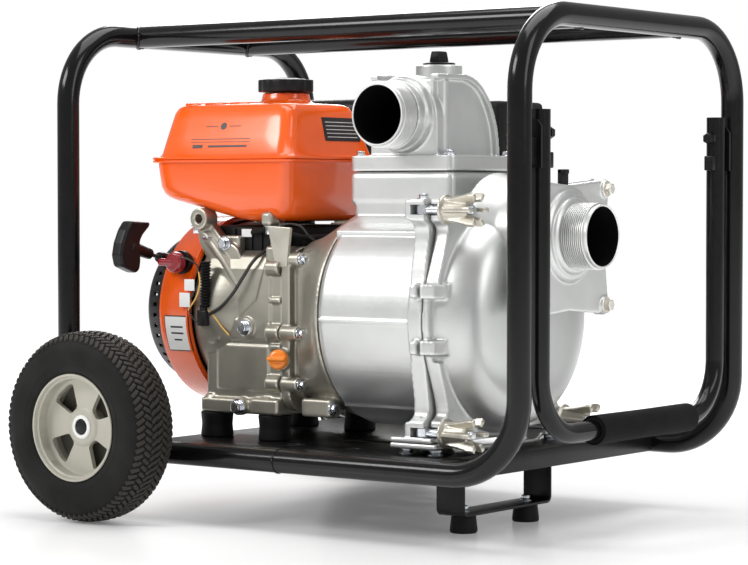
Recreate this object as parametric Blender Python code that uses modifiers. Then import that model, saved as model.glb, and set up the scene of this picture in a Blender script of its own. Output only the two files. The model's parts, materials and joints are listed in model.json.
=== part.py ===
"""Portable fire pump: petrol engine and trash pump in a tubular carrying frame on two wheels.

Lengths below are millimetres, turned into metres where the meshes are made.
X runs from the recoil starter to the suction port, -Y is the side of the discharge port, Z is up.
"""
import math

import bmesh
import bpy
from mathutils import Matrix, Vector

MM = 0.001
GAP = 0.3

# frame
HOOP_X, HOOP_Y = 380.0, 268.0
RAIL_TOP_Z, RAIL_LOW_Z = 672.0, 92.5
TUBE_R, BEND_R = 15.5, 100.0
TOP_RAIL_Y = 123.2
TRAY_X0, TRAY_X1, TRAY_Z, TRAY_T = -240.0, 262.0, 106.0, 4.0
FOOT_X, FOOT_SPREAD, LEG_SPREAD = 204.0, 74.0, 105.5

# wheels
WHEEL_X, WHEEL_R, TYRE_FACE_Y, TYRE_W, RIM_R = -269.5, 130.0, 383.6, 78.0, 73.4

# carrying handle
HANDLE_X, HANDLE_ARM_Y, HANDLE_R, HANDLE_BEND = 380.0, 221.0, 12.5, 75.0
HANDLE_TOP_Z, HANDLE_LOW_Z, PIVOT_Z = 551.0, 142.0, 522.0

# shaft line shared by engine and pump
AXIS_Y, AXIS_Z = -60.0, 281.0
SHAFT_R = 15.0

# engine
BASE_X0, BASE_X1, BASE_Z = -214.0, -72.0, 142.0
MOUNT_X, MOUNT_Y = (-201.0, -97.0), (-157.0, 37.0)
TANK_X, TANK_Y = -178.0, -75.0
CYL_TILT = math.radians(25)

# pump
REAR_X, JOINT_X = 16.0, 197.0
CASE_R, FLANGE_R, CLAMP_D = 152.0, 161.0, 141.0
CLAMP_DZ, PIN_X, LUG_DZ, PAD_T = 144.5, 187.0, (39.5, -33.5), 22.0
RISER_X, RISER_HALF, RISER_Y0, RISER_Y1, RISER_TOP = 97.0, 85.4, -131.0, 27.0, 476.7
PORT_R, BORE_R, PORT_Z, PORT_MOUTH_Y = 43.9, 37.5, 550.7, -182.6
SUCTION_Z, SUCTION_MOUTH_X = 390.8, 372.4

COLOURS = {
    "frame": (0.02, 0.02, 0.02), "rubber": (0.03, 0.03, 0.03), "rim": (0.55, 0.54, 0.50),
    "alloy": (0.72, 0.72, 0.70), "casting": (0.62, 0.61, 0.56), "orange": (0.85, 0.17, 0.03),
    "plastic": (0.04, 0.04, 0.04), "steel": (0.50, 0.50, 0.50), "red": (0.55, 0.02, 0.03),
    "amber": (0.90, 0.35, 0.03),
}


def remove_all():
    for ob in list(bpy.data.objects):
        bpy.data.objects.remove(ob, do_unlink=True)


def collection(name):
    col = bpy.data.collections.new(name)
    bpy.context.scene.collection.children.link(col)
    return col


def material(name, kind):
    mat = bpy.data.materials.new("mat_" + name)
    mat.use_nodes = True
    bsdf = mat.node_tree.nodes["Principled BSDF"]
    bsdf.inputs["Base Color"].default_value = (*COLOURS[kind], 1.0)
    bsdf.inputs["Roughness"].default_value = 0.8 if kind == "rubber" else 0.35
    bsdf.inputs["Metallic"].default_value = 0.9 if kind in ("alloy", "casting", "steel") else 0.0
    return mat


def axis_matrix(axis):
    """Rotation taking local +Z onto the given axis."""
    return Vector(axis).normalized().to_track_quat("Z", "Y").to_matrix().to_4x4()


AXES = {"X": Matrix.Rotation(math.pi / 2, 4, "Y"), "Y": Matrix.Rotation(-math.pi / 2, 4, "X"), "Z": Matrix()}


def turn(axis):
    return AXES[axis] if isinstance(axis, str) else axis_matrix(axis)


def place(bm, name, matrix):
    bmesh.ops.transform(bm, matrix=Matrix.Scale(MM, 4) @ matrix, verts=bm.verts)
    mesh = bpy.data.meshes.new(name)
    bm.normal_update()
    bm.to_mesh(mesh)
    bm.free()
    return bpy.data.objects.new(name, mesh)


def cylinder(r, length, at, axis="Z", r2=None, n=24):
    """Cylinder or cone centred at a point; r is the radius at the start of the axis, r2 at its end."""
    bm = bmesh.new()
    bmesh.ops.create_cone(bm, cap_ends=True, segments=n, radius1=r, radius2=r if r2 is None else r2,
                          depth=length)
    return place(bm, "cylinder", Matrix.Translation(at) @ turn(axis))


def box(x0, x1, y0, y1, z0, z1, bevel=0.0, seg=1):
    bm = bmesh.new()
    bmesh.ops.create_cube(bm, size=1.0)
    bmesh.ops.scale(bm, vec=(x1 - x0, y1 - y0, z1 - z0), verts=bm.verts)
    if bevel:
        bmesh.ops.bevel(bm, geom=bm.edges[:], offset=bevel, segments=seg, profile=0.5, affect="EDGES")
    return place(bm, "box", Matrix.Translation(((x0 + x1) / 2, (y0 + y1) / 2, (z0 + z1) / 2)))


def tilted_box(size, at, rotation, bevel=0.0):
    bm = bmesh.new()
    bmesh.ops.create_cube(bm, size=1.0)
    bmesh.ops.scale(bm, vec=size, verts=bm.verts)
    if bevel:
        bmesh.ops.bevel(bm, geom=bm.edges[:], offset=bevel, segments=1, profile=0.5, affect="EDGES")
    return place(bm, "tilted_box", Matrix.Translation(at) @ rotation)


def prism(outline, start, end, plane="YZ"):
    """Closed outline in a plane, extruded along the remaining axis from start to end."""
    bm = bmesh.new()
    lay = {"YZ": lambda a, b: (start, a, b), "XZ": lambda a, b: (a, start, b), "XY": lambda a, b: (a, b, start)}
    push = {"YZ": (end - start, 0, 0), "XZ": (0, end - start, 0), "XY": (0, 0, end - start)}
    face = bm.faces.new([bm.verts.new(lay[plane](a, b)) for a, b in outline])
    grown = bmesh.ops.extrude_face_region(bm, geom=[face])
    moved = [v for v in grown["geom"] if isinstance(v, bmesh.types.BMVert)]
    bmesh.ops.translate(bm, vec=push[plane], verts=moved)
    bmesh.ops.recalc_face_normals(bm, faces=bm.faces[:])
    return place(bm, "prism", Matrix())


def lathe(profile, at, axis="Z", steps=32, closed=False):
    """Profile of (radius, height) points from top to bottom, turned about the axis by a Screw modifier."""
    mesh = bpy.data.meshes.new("lathe")
    turned = turn(axis).to_3x3()
    verts = [(r * MM, 0.0, h * MM) for r, h in profile]
    edges = [(i, i + 1) for i in range(len(verts) - 1)]
    if closed:
        edges.append((len(verts) - 1, 0))
    mesh.from_pydata(verts, edges, [])
    ob = bpy.data.objects.new("lathe", mesh)
    ob.matrix_world = Matrix.Translation(Vector(at) * MM) @ turned.to_4x4()
    mod = ob.modifiers.new("turned", "SCREW")
    mod.steps = mod.render_steps = steps
    mod.use_merge_vertices = True
    mod.merge_threshold = 0.00001
    mod.use_smooth_shade = False
    return ob


def rounded_path(points, radius, steps=4):
    """Polyline with its inner corners replaced by arcs."""
    pts = [Vector(p) for p in points]
    out = [pts[0]]
    for a, b, c in zip(pts, pts[1:], pts[2:]):
        u, v = (a - b).normalized(), (c - b).normalized()
        half = u.angle(v) / 2
        reach = radius / math.tan(half)
        centre = b + (u + v).normalized() * radius / math.sin(half)
        start, end = b + u * reach - centre, b + v * reach - centre
        swing = start.angle(end)
        for i in range(steps + 1):
            t = i / steps
            arc = start * math.sin((1 - t) * swing) + end * math.sin(t * swing)
            out.append(centre + arc / math.sin(swing))
    out.append(pts[-1])
    return out


def tube(points, r):
    """Round tube along a path, as a mesh with flat closed ends."""
    curve = bpy.data.curves.new("tube", "CURVE")
    curve.dimensions = "3D"
    curve.bevel_depth = r * MM
    curve.bevel_resolution = 2
    curve.render_resolution_u = 0
    curve.use_fill_caps = True
    spline = curve.splines.new("POLY")
    spline.points.add(len(points) - 1)
    for slot, p in zip(spline.points, points):
        slot.co = (*(Vector(p) * MM), 1.0)
    ob = bpy.data.objects.new("tube", curve)
    PARTS.objects.link(ob)
    bpy.context.view_layer.update()
    mesh = bpy.data.meshes.new_from_object(ob.evaluated_get(bpy.context.evaluated_depsgraph_get()))
    bpy.data.objects.remove(ob, do_unlink=True)
    bm = bmesh.new()
    bm.from_mesh(mesh)
    bmesh.ops.remove_doubles(bm, verts=bm.verts, dist=0.00001)
    bmesh.ops.recalc_face_normals(bm, faces=bm.faces[:])
    bm.to_mesh(mesh)
    bm.free()
    return bpy.data.objects.new("tube", mesh)


def loft(rings):
    """Closed body through rings of equal point count, first and last ring capped."""
    bm = bmesh.new()
    loops = [[bm.verts.new(p) for p in ring] for ring in rings]
    for low, high in zip(loops, loops[1:]):
        for i in range(len(low)):
            j = (i + 1) % len(low)
            bm.faces.new((low[i], low[j], high[j], high[i]))
    bm.faces.new(list(reversed(loops[0])))
    bm.faces.new(loops[-1])
    bmesh.ops.recalc_face_normals(bm, faces=bm.faces[:])
    return place(bm, "loft", Matrix())


def round_rect(half_a, half_b, r, per_corner=4):
    pts = []
    for k, (sa, sb) in enumerate(((1, 1), (-1, 1), (-1, -1), (1, -1))):
        for i in range(per_corner):
            t = math.pi / 2 * (k + i / (per_corner - 1))
            pts.append((sa * (half_a - r) + r * math.cos(t), sb * (half_b - r) + r * math.sin(t)))
    return pts


def part(name, kind, base, add=(), cut=(), origin=(0, 0, 0)):
    """Name a body, give it its material and join or cut it with the hidden helper bodies."""
    base.name = base.data.name = name
    PARTS.objects.link(base)
    base.data.materials.clear()
    base.data.materials.append(material(name, kind))
    for operation, helpers in (("UNION", add), ("DIFFERENCE", cut)):
        for i, helper in enumerate(helpers):
            helper.name = f"{name}_{operation.lower()}_{i}"
            CUTTERS.objects.link(helper)
            helper.hide_render = True
            helper.display_type = "WIRE"
            mod = base.modifiers.new(helper.name, "BOOLEAN")
            mod.operation = operation
            mod.solver = "EXACT"
            mod.object = helper
    if any(origin):
        shift_origin(base, Vector(origin) * MM)
    return base


def shift_origin(ob, origin):
    """Put the object's origin on a point of its joint axis."""
    bpy.context.view_layer.update()
    if ob.modifiers and ob.modifiers[0].type == "SCREW":
        raise ValueError(ob.name + " is turned about its own origin")
    ob.data.transform(Matrix.Translation(-origin) @ ob.matrix_world)
    ob.matrix_world = Matrix.Translation(origin)
    for poly in ob.data.polygons:
        poly.use_smooth = False


# ---------------------------------------------------------------- frame

def build_frame():
    for name, s in (("hoop_engine_end", -1), ("hoop_pump_end", 1)):
        x, end = s * HOOP_X, s * GAP / 2
        corners = [(end, -HOOP_Y, RAIL_LOW_Z), (x, -HOOP_Y, RAIL_LOW_Z), (x, -HOOP_Y, RAIL_TOP_Z),
                   (x, HOOP_Y, RAIL_TOP_Z), (x, HOOP_Y, RAIL_LOW_Z), (end, HOOP_Y, RAIL_LOW_Z)]
        part(name, "frame", tube(rounded_path(corners, BEND_R), TUBE_R))
    reach = HOOP_X - TUBE_R - GAP
    for name, s in (("top_rail_near", -1), ("top_rail_far", 1)):
        y = s * TOP_RAIL_Y
        part(name, "frame", tube([(-reach, y, RAIL_TOP_Z), (reach, y, RAIL_TOP_Z)], TUBE_R))
    inner = HOOP_Y - TUBE_R - 2 * GAP
    t, skirt = TRAY_T, 26.0
    outline = [(TRAY_X0, TRAY_Z - skirt), (TRAY_X0, TRAY_Z), (TRAY_X1, TRAY_Z), (TRAY_X1, TRAY_Z - skirt),
               (TRAY_X1 - t, TRAY_Z - skirt), (TRAY_X1 - t, TRAY_Z - t), (TRAY_X0 + t, TRAY_Z - t),
               (TRAY_X0 + t, TRAY_Z - skirt)]
    part("base_tray", "frame", prism(outline, -inner, inner, "XZ"))


def build_feet():
    y0, y1, top = AXIS_Y - LEG_SPREAD, AXIS_Y + LEG_SPREAD, TRAY_Z - TRAY_T - GAP
    outline = [(y0, top), (y0, 24), (y1, 24), (y1, top), (y1 - 4, top), (y1 - 4, 28), (y0 + 4, 28), (y0 + 4, top)]
    part("foot_bracket", "frame", prism(outline, FOOT_X - 22, FOOT_X + 22, "YZ"))
    for name, s in (("foot_near", -1), ("foot_far", 1)):
        profile = [(0, 23.7), (15, 23.7), (17, 21.7), (18.5, 1.5), (17, 0), (0, 0)]
        part(name, "rubber", lathe(profile, (FOOT_X, AXIS_Y + s * FOOT_SPREAD, 0), steps=16))


def build_wheels():
    half = TYRE_W / 2
    tyre = [(RIM_R + 2, half - 5), (88, half), (111, half), (125, half - 6), (WHEEL_R, half - 14),
            (WHEEL_R, -half + 14), (125, -half + 6), (111, -half), (88, -half), (RIM_R + 2, -half + 5),
            (66, -half + 9), (66, half - 9)]
    rim = [(65.7, half - 8.5), (RIM_R, half - 5.3), (RIM_R, half - 4), (69, half - 4), (62, half - 26),
           (25, half - 26), (23, half - 24), (10.3, half - 24), (10.3, -half + 14), (23, -half + 14), (25, 4),
           (58, 4), (66, -half + 5), (65.7, -half + 8.7)]
    for side, s in (("near", -1), ("far", 1)):
        centre = (WHEEL_X, s * (TYRE_FACE_Y - half), WHEEL_R)
        axis = (0, s, 0)
        part("tyre_" + side, "rubber", lathe(tyre, centre, axis, steps=28, closed=True))
        windows = []
        for k in range(4):
            spin = Matrix.Rotation(math.radians(-38 + 90 * k), 4, "Y")
            at = Vector(centre) + spin @ Vector((41, 0, 0))
            windows.append(tilted_box((30, 90, 34), at, spin))
        part("rim_" + side, "rim", lathe(rim, centre, axis, steps=28, closed=True), cut=windows)
        wall = HOOP_Y + TUBE_R + GAP
        plate = prism([(WHEEL_X + dx, z) for dx, z in
                       ((-30, 82), (30, 82), (30, 128), (18, 148), (-18, 148), (-30, 128))], s * wall,
                      s * (wall + 5), "XZ")
        spindle = cylinder(10.0, 66, (WHEEL_X, s * (wall + 4 + 33), WHEEL_R), "Y", n=20)
        collar = cylinder(17.0, 14, (WHEEL_X, s * (wall + 11), WHEEL_R), "Y", n=20)
        part("axle_" + side, "steel", plate, add=[spindle, collar])


def build_handle():
    corners = [(HANDLE_X, -HANDLE_ARM_Y, HANDLE_TOP_Z), (HANDLE_X, -HANDLE_ARM_Y, HANDLE_LOW_Z),
               (HANDLE_X, HANDLE_ARM_Y, HANDLE_LOW_Z), (HANDLE_X, HANDLE_ARM_Y, HANDLE_TOP_Z)]
    holes = [cylinder(5.4, 40, (HANDLE_X, s * HANDLE_ARM_Y, PIVOT_Z), "Y", n=16) for s in (-1, 1)]
    part("handle_tube", "frame", tube(rounded_path(corners, HANDLE_BEND, 6), HANDLE_R), cut=holes,
         origin=(HANDLE_X, 0, PIVOT_Z))
    grip = cylinder(19.5, 238, (HANDLE_X, 24, HANDLE_LOW_Z), "Y", n=20)
    bore = cylinder(HANDLE_R + GAP, 260, (HANDLE_X, 24, HANDLE_LOW_Z), "Y", n=20)
    part("handle_grip", "rubber", grip, cut=[bore], origin=(HANDLE_X, 0, PIVOT_Z))
    for side, s in (("near", -1), ("far", 1)):
        arm, post = HANDLE_ARM_Y, HOOP_Y - TUBE_R
        plate = prism([(HANDLE_X + dx, z) for dx, z in ((-13, 478), (13, 478), (13, 530), (7, 538), (-7, 538),
                                                        (-13, 530))], s * (arm + 15), s * (arm + 19), "XZ")
        pad = box(HANDLE_X - 7, HANDLE_X + 7, *sorted((s * (arm + 18), s * (post - GAP))), 482, 516)
        pin = cylinder(5.0, 34, (HANDLE_X, s * (arm + 1), PIVOT_Z), "Y", n=16)
        head = cylinder(9.0, 6, (HANDLE_X, s * (arm - 16.5), PIVOT_Z), "Y", n=6)
        part("handle_bracket_" + side, "steel", plate, add=[pad, pin, head])


# ---------------------------------------------------------------- engine

def shaft_bore(x0, x1, r=SHAFT_R + GAP):
    return cylinder(r, x1 - x0, ((x0 + x1) / 2, AXIS_Y, AXIS_Z), "X", n=24)


def build_crankcase():
    flange = box(BASE_X0, BASE_X1, -178, 58, BASE_Z, 162, bevel=4)
    outline = [(-172, 161), (-172, 352), (-150, 368), (0, 368), (52, 350), (52, 161)]
    body = prism(outline, BASE_X0 + 6, BASE_X1 - 0.01, "YZ")
    drain = cylinder(8, 10, (-140, -180, 152), "Y", n=6)
    boss = cylinder(13, 10, (-132, -175, 262), "Y", n=16)
    part("crankcase", "casting", flange, add=[body, drain, boss], cut=[shaft_bore(-230, -60)])
    outline = [(-176, 166), (-176, 350), (-146, 374), (20, 374), (56, 340), (56, 166), (30, 146), (-150, 146)]
    cover = prism(outline, BASE_X1 + GAP, -46, "YZ")
    boss = cylinder(92, 8, (-46, AXIS_Y, AXIS_Z), "X", n=28)
    bolts = [cylinder(7, 16, (-43, y, z), "X", n=6) for y, z in
             ((-166, 345), (-169, 260), (-166, 176), (42, 176), (46, 260), (22, 362))]
    part("crankcase_cover", "casting", cover, add=[boss] + bolts, cut=[shaft_bore(-80, -30)])
    for i, (x, y) in enumerate((x, y) for y in MOUNT_Y for x in MOUNT_X):
        profile = [(0, BASE_Z - GAP), (22, BASE_Z - GAP), (23.5, 138), (21, 124), (23.5, 110),
                   (22, TRAY_Z + GAP), (0, TRAY_Z + GAP)]
        part(f"engine_mount_{i + 1}", "rubber", lathe(profile, (x, y, 0), steps=14))


def build_cylinder():
    tilt = Matrix.Rotation(CYL_TILT, 4, "X")
    root = Vector((-146, 52 + GAP, 300))
    core = tilted_box((104, 118, 84), root + tilt @ Vector((0, 62, 10)), tilt)
    fins = [tilted_box((126, 4, 116), root + tilt @ Vector((0, 34 + 14 * i, 10)), tilt) for i in range(6)]
    head = tilted_box((118, 16, 104), root + tilt @ Vector((0, 118, 10)), tilt)
    flush = box(-260, -20, -30, 52 + GAP, 200, 420)
    part("cylinder", "casting", core, add=fins + [head], cut=[flush])
    lid = tilted_box((92, 26, 78), root + tilt @ Vector((0, 139 + 2 * GAP, 10)), tilt, bevel=8)
    part("valve_cover", "casting", lid)


def build_blower():
    drum = cylinder(133, 62, (-253, AXIS_Y, AXIS_Z), "X", n=32)
    duct = prism([(-60, 330), (-60, 412), (60, 425), (118, 390), (95, 300), (40, 270)], -282, -222, "YZ")
    inner = cylinder(128, 58, (-248, AXIS_Y, AXIS_Z), "X", n=32)
    inside = prism([(-58, 332), (-58, 408), (58, 421), (112, 389), (90, 303), (40, 276)], -278, -218, "YZ")
    mouth = cylinder(94, 20, (-282, AXIS_Y, AXIS_Z), "X", n=32)
    part("blower_housing", "orange", drum, add=[duct], cut=[inner, inside, mouth])
    profile = [(0, 50), (60, 50), (100, 44), (112, 8), (112, 0), (108, 0), (96, 40), (60, 46.5), (0, 46.5)]
    cup = lathe(profile, (-284 - GAP, AXIS_Y, AXIS_Z), (-1, 0, 0), steps=24)
    slots = []
    for k in range(10):
        spin = Matrix.Rotation(math.radians(36 * k + 9), 4, "X")
        at = Vector((-307, AXIS_Y, AXIS_Z)) + spin @ Vector((0, 0, 104))
        slots.append(tilted_box((20, 16, 24), at, spin))
    guide = cylinder(9, 34, (-310, -142, 352), (0, -1, 0.25), n=16)
    rope_hole = cylinder(3.5, 60, (-310, -142, 352), (0, -1, 0.25), n=12)
    part("recoil_cover", "plastic", cup, add=[guide], cut=slots + [rope_hole])
    rim = [(50, 9), (50, 5), (44, 4), (44, -4), (50, -5), (50, -9), (8, -9), (8, 9)]
    part("starter_pulley", "plastic", lathe(rim, (-310, AXIS_Y, AXIS_Z), "X", steps=16, closed=True))


def build_starter_grip():
    pull = Vector((0, -1, 0.25)).normalized()
    start = Vector((-310, -142, 352)) + pull * 17.5
    rope = cylinder(3, 40, start + pull * (-4), pull, n=12)
    stem = cylinder(7.5, 46, start + pull * 38.5, pull, r2=6.0, n=16)
    bar = Matrix.Rotation(math.atan2(0.25, 1), 4, "X").inverted()
    grip = tilted_box((20, 19, 68), start + pull * 66, bar, bevel=6)
    part("starter_grip", "plastic", grip, add=[stem, rope], origin=tuple(start))


def build_rotor():
    shaft = cylinder(SHAFT_R, 346, (-103, AXIS_Y, AXIS_Z), "X", n=24)
    part("crankshaft", "steel", shaft, origin=(-103, AXIS_Y, AXIS_Z))
    disc = [(100, 4), (100, -6), (15.3, -12), (15.3, 12), (60, 8)]
    wheel = lathe(disc, (-240, AXIS_Y, AXIS_Z), (-1, 0, 0), steps=24, closed=True)
    blades = []
    for k in range(8):
        spin = Matrix.Rotation(math.radians(45 * k), 4, "X")
        blades.append(tilted_box((26, 3, 40), Vector((-254, AXIS_Y, AXIS_Z)) + spin @ Vector((0, 0, 82)), spin))
    part("flywheel", "alloy", wheel, add=blades)
    disc = [(88, 3), (88, -3), (34, -5), (15.3, -5), (15.3, 22), (24, 20), (34, 6)]
    wheel = lathe(disc, (44, AXIS_Y, AXIS_Z), "X", steps=20, closed=True)
    vanes = []
    for k in range(3):
        spin = Matrix.Rotation(math.radians(120 * k), 4, "X")
        vanes.append(tilted_box((24, 6, 60), Vector((58, AXIS_Y, AXIS_Z)) + spin @ Vector((0, 6, 57)), spin))
    part("impeller", "steel", wheel, add=vanes)


def tank_ring(half_x, half_y, r, z, sag=0.0):
    """Rounded rectangle; sag lifts its engine-side end, as on the underside of the tank."""
    ring = []
    for a, b in round_rect(half_x, half_y, r):
        lift = sag * max(0.0, min(1.0, (-a - 4) / 42))
        ring.append((TANK_X + a, TANK_Y + b, z + lift))
    return ring


def build_tank():
    rings = [tank_ring(98, 78, 18, 408, 28), tank_ring(112, 92, 20, 413, 26), tank_ring(117, 99, 20, 430, 16),
             tank_ring(121, 103, 18, 488), tank_ring(127.5, 108, 18, 489), tank_ring(127.5, 108, 18, 498),
             tank_ring(118, 101, 18, 499), tank_ring(107, 79, 18, 562), tank_ring(103, 74, 18, 569),
             tank_ring(95, 64, 16, 572)]
    neck = lathe([(0, 588), (29, 588), (33, 584), (34, 566), (0, 566)], (-148, -68, 0), steps=24)
    lugs = [box(x - 9, x + 9, -176, -150, 392, 438) for x in (-228, -118)]
    part("fuel_tank", "orange", loft(rings), add=[neck] + lugs)
    profile = [(0, 609), (32, 609), (38, 606), (39.8, 602), (39.8, 588 + GAP + 1), (0, 588 + GAP + 1)]
    cap = lathe(profile, (0, 0, 0), steps=20)
    part("fuel_cap", "plastic", cap)
    cap.location = (-148 * MM, -68 * MM, 0)


def build_far_side():
    bowl = cylinder(20, 34, (-238, 118, 432), n=16)
    throat = cylinder(21, 44, (-238, 118, 460), (0, 1, 0), n=16)
    flange = box(-262, -214, 94, 100, 438, 482)
    part("carburettor", "casting", throat, add=[bowl, flange])
    part("air_cleaner", "plastic", box(-300, -172, 144, 232, 456, 588, bevel=14, seg=2))
    drum = box(-76, 66, 132, 226, 474, 562, bevel=22, seg=2)
    pipe = cylinder(16, 60, (-104, 160, 505), "X", n=16)
    part("muffler", "steel", drum, add=[pipe])
    shell = box(-84, 90, 118, 234, 466, 578, bevel=4)
    inside = box(-79, 85, 123, 229, 440, 572)
    slots = [box(-60 + 30 * k, -46 + 30 * k, 110, 240, 500, 552) for k in range(5)]
    slots.append(box(-94, -70, 142, 178, 487, 523))
    part("muffler_guard", "plastic", shell, cut=[inside] + slots)


def lever(name, kind, at, axis, arm, length):
    """Flat lever with a hub on its pivot."""
    hub = cylinder(9, 10, at, axis, n=16)
    swing = Vector(arm).normalized()
    side = Vector(axis).normalized().cross(swing)
    rot = Matrix((swing, side, Vector(axis).normalized())).transposed().to_4x4()
    blade = tilted_box((length, 12, 4), Vector(at) + swing * length / 2, rot, bevel=1.2)
    part(name, kind, hub, add=[blade], origin=tuple(at))


def build_controls():
    knob = cylinder(16, 16, (-243, -196, 350), "Y", n=12)
    tab = box(-272, -232, -212, -192, 343, 357, bevel=4)
    part("engine_switch", "red", knob, add=[tab], origin=(-243, -196, 350))
    axis = Vector((0.35, -1, 0.15)).normalized()
    at = Vector((-66, -186, 220))
    cap = cylinder(14, 10, at + axis * 4, axis, n=12)
    wing = cylinder(4.5, 26, at + axis * 12, (1, 0.35, 0), n=10)
    part("dipstick", "amber", cap, add=[wing], origin=tuple(at))
    lever("throttle_lever", "steel", (-196, -120, 384), (0, 0, 1), (-0.2, -1, 0), 58)
    lever("choke_lever", "plastic", (-268, 118, 462), (1, 0, 0), (0, -1, 0.35), 34)
    lever("fuel_valve_lever", "plastic", (-268, 118, 430), (1, 0, 0), (0, 1, -0.2), 30)


# ---------------------------------------------------------------- pump

def corner_signs():
    return [(-1, 1), (-1, -1), (1, -1), (1, 1)]


def corner_pad(sy, sz, x0, x1, reach):
    """Flange corner carrying one clamp."""
    y = AXIS_Y + sy * CLAMP_D
    z = AXIS_Z + sz * CLAMP_DZ
    pts = [(y + sy * reach, z + sz * 14), (y + sy * reach, z - sz * 14), (AXIS_Y + sy * 152, AXIS_Z + sz * 40),
           (AXIS_Y + sy * 60, AXIS_Z + sz * 60), (AXIS_Y + sy * 50, AXIS_Z + sz * 150), (y - sy * 20, z + sz * 14)]
    return prism(pts, x0, x1, "YZ")


def build_casing():
    def disc(r, x0, x1, n=36):
        return cylinder(r, x1 - x0, ((x0 + x1) / 2, AXIS_Y, AXIS_Z), "X", n=n)

    joint = JOINT_X - GAP / 2
    add = [disc(FLANGE_R, JOINT_X - 25, joint)]
    riser = box(RISER_X - RISER_HALF, RISER_X + RISER_HALF, RISER_Y0, RISER_Y1, 429, RISER_TOP)
    riser_root = box(REAR_X + 1.2, RISER_X + RISER_HALF - 1, RISER_Y0 + 1, RISER_Y1 - 1, 340, 432)
    shelf = prism([(-168, 396), (-128, 414), (24, 414), (55, 392), (40, 330), (-150, 330)],
                  REAR_X + 0.6, JOINT_X - 10, "YZ")
    add += [riser, riser_root, shelf]
    for a in (-1, -52, -128, 181, 118):
        spin = Matrix.Rotation(math.radians(a), 4, "X").inverted()
        at = Vector(((REAR_X + 170) / 2, AXIS_Y, AXIS_Z)) + spin @ Vector((0, -CASE_R - 0.5, 0))
        add.append(tilted_box((150, 5, 4), at, spin))
    cut = [disc(143, REAR_X + 10, JOINT_X + 5)]
    cut.append(box(RISER_X - 74, RISER_X + 74, RISER_Y0 + 12, RISER_Y1 - 12, 300, RISER_TOP + 5))
    cut.append(disc(SHAFT_R + GAP, REAR_X - 5, REAR_X + 20, n=24))
    for sy, sz in corner_signs():
        y, z = AXIS_Y + sy * CLAMP_D, AXIS_Z + sz * CLAMP_DZ
        add.append(corner_pad(sy, sz, JOINT_X - 24.5, joint - 1, 14))
        add.append(box(PIN_X - 22, joint - 0.5, *sorted((y - sy * 16, y + sy * 13.5)), z - 13.5, z + 13.5))
        cut.append(box(PIN_X - 12, JOINT_X + 2, *sorted((y - sy * 10.5, y + sy * 16)), z - 6.5, z + 6.5))
    for dz in LUG_DZ:
        add.append(box(JOINT_X - 22, joint - 1.5, AXIS_Y - 172, AXIS_Y - 140, AXIS_Z + dz - 11, AXIS_Z + dz + 11))
    part("pump_casing", "alloy", disc(CASE_R, REAR_X, JOINT_X - 10), add=add, cut=cut)
    pump_bracket()


def pump_bracket():
    profile = [(34, 56.5), (98, 56.5), (98, 42), (118, 14), (146, 9), (146, 1.3), (20, 1.3), (20, 12), (34, 12)]
    cone = lathe(profile, (REAR_X, AXIS_Y, AXIS_Z), (-1, 0, 0), steps=28, closed=True)
    part("pump_bracket", "casting", cone)


def build_cover():
    joint = JOINT_X + GAP / 2
    dome = lathe([(0, 276), (100, 276), (128, 271), (142, 258), (148, 236), (151, joint + 10),
                  (FLANGE_R, joint + 10), (FLANGE_R, joint), (0, joint)], (0, AXIS_Y, AXIS_Z), "X", steps=36)
    inside = lathe([(0, 268), (98, 268), (122, 263), (136, 250), (142, 230), (142, joint - 5), (0, joint - 5)],
                   (0, AXIS_Y, AXIS_Z), "X", steps=36)
    neck = cylinder(70, 96, (257, AXIS_Y, SUCTION_Z - 4), "X", n=32)
    plate = box(293, 306, AXIS_Y - 96, AXIS_Y + 96, SUCTION_Z - 100, SUCTION_Z + 72, bevel=6)
    bore = cylinder(58, 100, (270, AXIS_Y, SUCTION_Z - 4), "X", n=28)
    add, cut = [neck, plate], [inside, bore]
    for sy, sz in corner_signs():
        y, z = AXIS_Y + sy * CLAMP_D, AXIS_Z + sz * CLAMP_DZ
        add.append(corner_pad(sy, sz, joint + 1, joint + PAD_T, 2))
        cut.append(box(joint - 2, joint + 30, *sorted((y - sy * 8, y + sy * 16)), z - 7.5, z + 7.5))
    for dz in LUG_DZ:
        add.append(box(joint + 1.5, joint + 24, AXIS_Y - 170, AXIS_Y - 138, AXIS_Z + dz - 11, AXIS_Z + dz + 11))
    part("front_cover", "alloy", dome, add=add, cut=cut)


def build_clamps():
    for i, (sy, sz) in enumerate(corner_signs()):
        y, z = AXIS_Y + sy * CLAMP_D, AXIS_Z + sz * CLAMP_DZ
        eye = cylinder(9.5, 12, (PIN_X, y, z), n=20)
        shank = cylinder(6, 78, (PIN_X + 6 + 39, y, z), "X", n=16)
        part(f"swing_bolt_{i + 1}", "steel", eye, add=[shank], origin=(PIN_X, y, z))
        start = JOINT_X + PAD_T + 1.5
        hub = lathe([(13, 40), (13, 6), (19, 0), (6.3, 0), (6.3, 40)], (start, y, z), "X", steps=12, closed=True)
        hub.location = (start * MM, y * MM, z * MM)
        wings = []
        for k in range(6):
            spin = Matrix.Rotation(math.radians(60 * k + 30), 4, "X")
            wings.append(tilted_box((44, 7, 14), Vector((start + 32, y, z)) + spin @ Vector((0, 0, 17)), spin))
        part(f"hand_nut_{i + 1}", "alloy", hub, add=wings)


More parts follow.
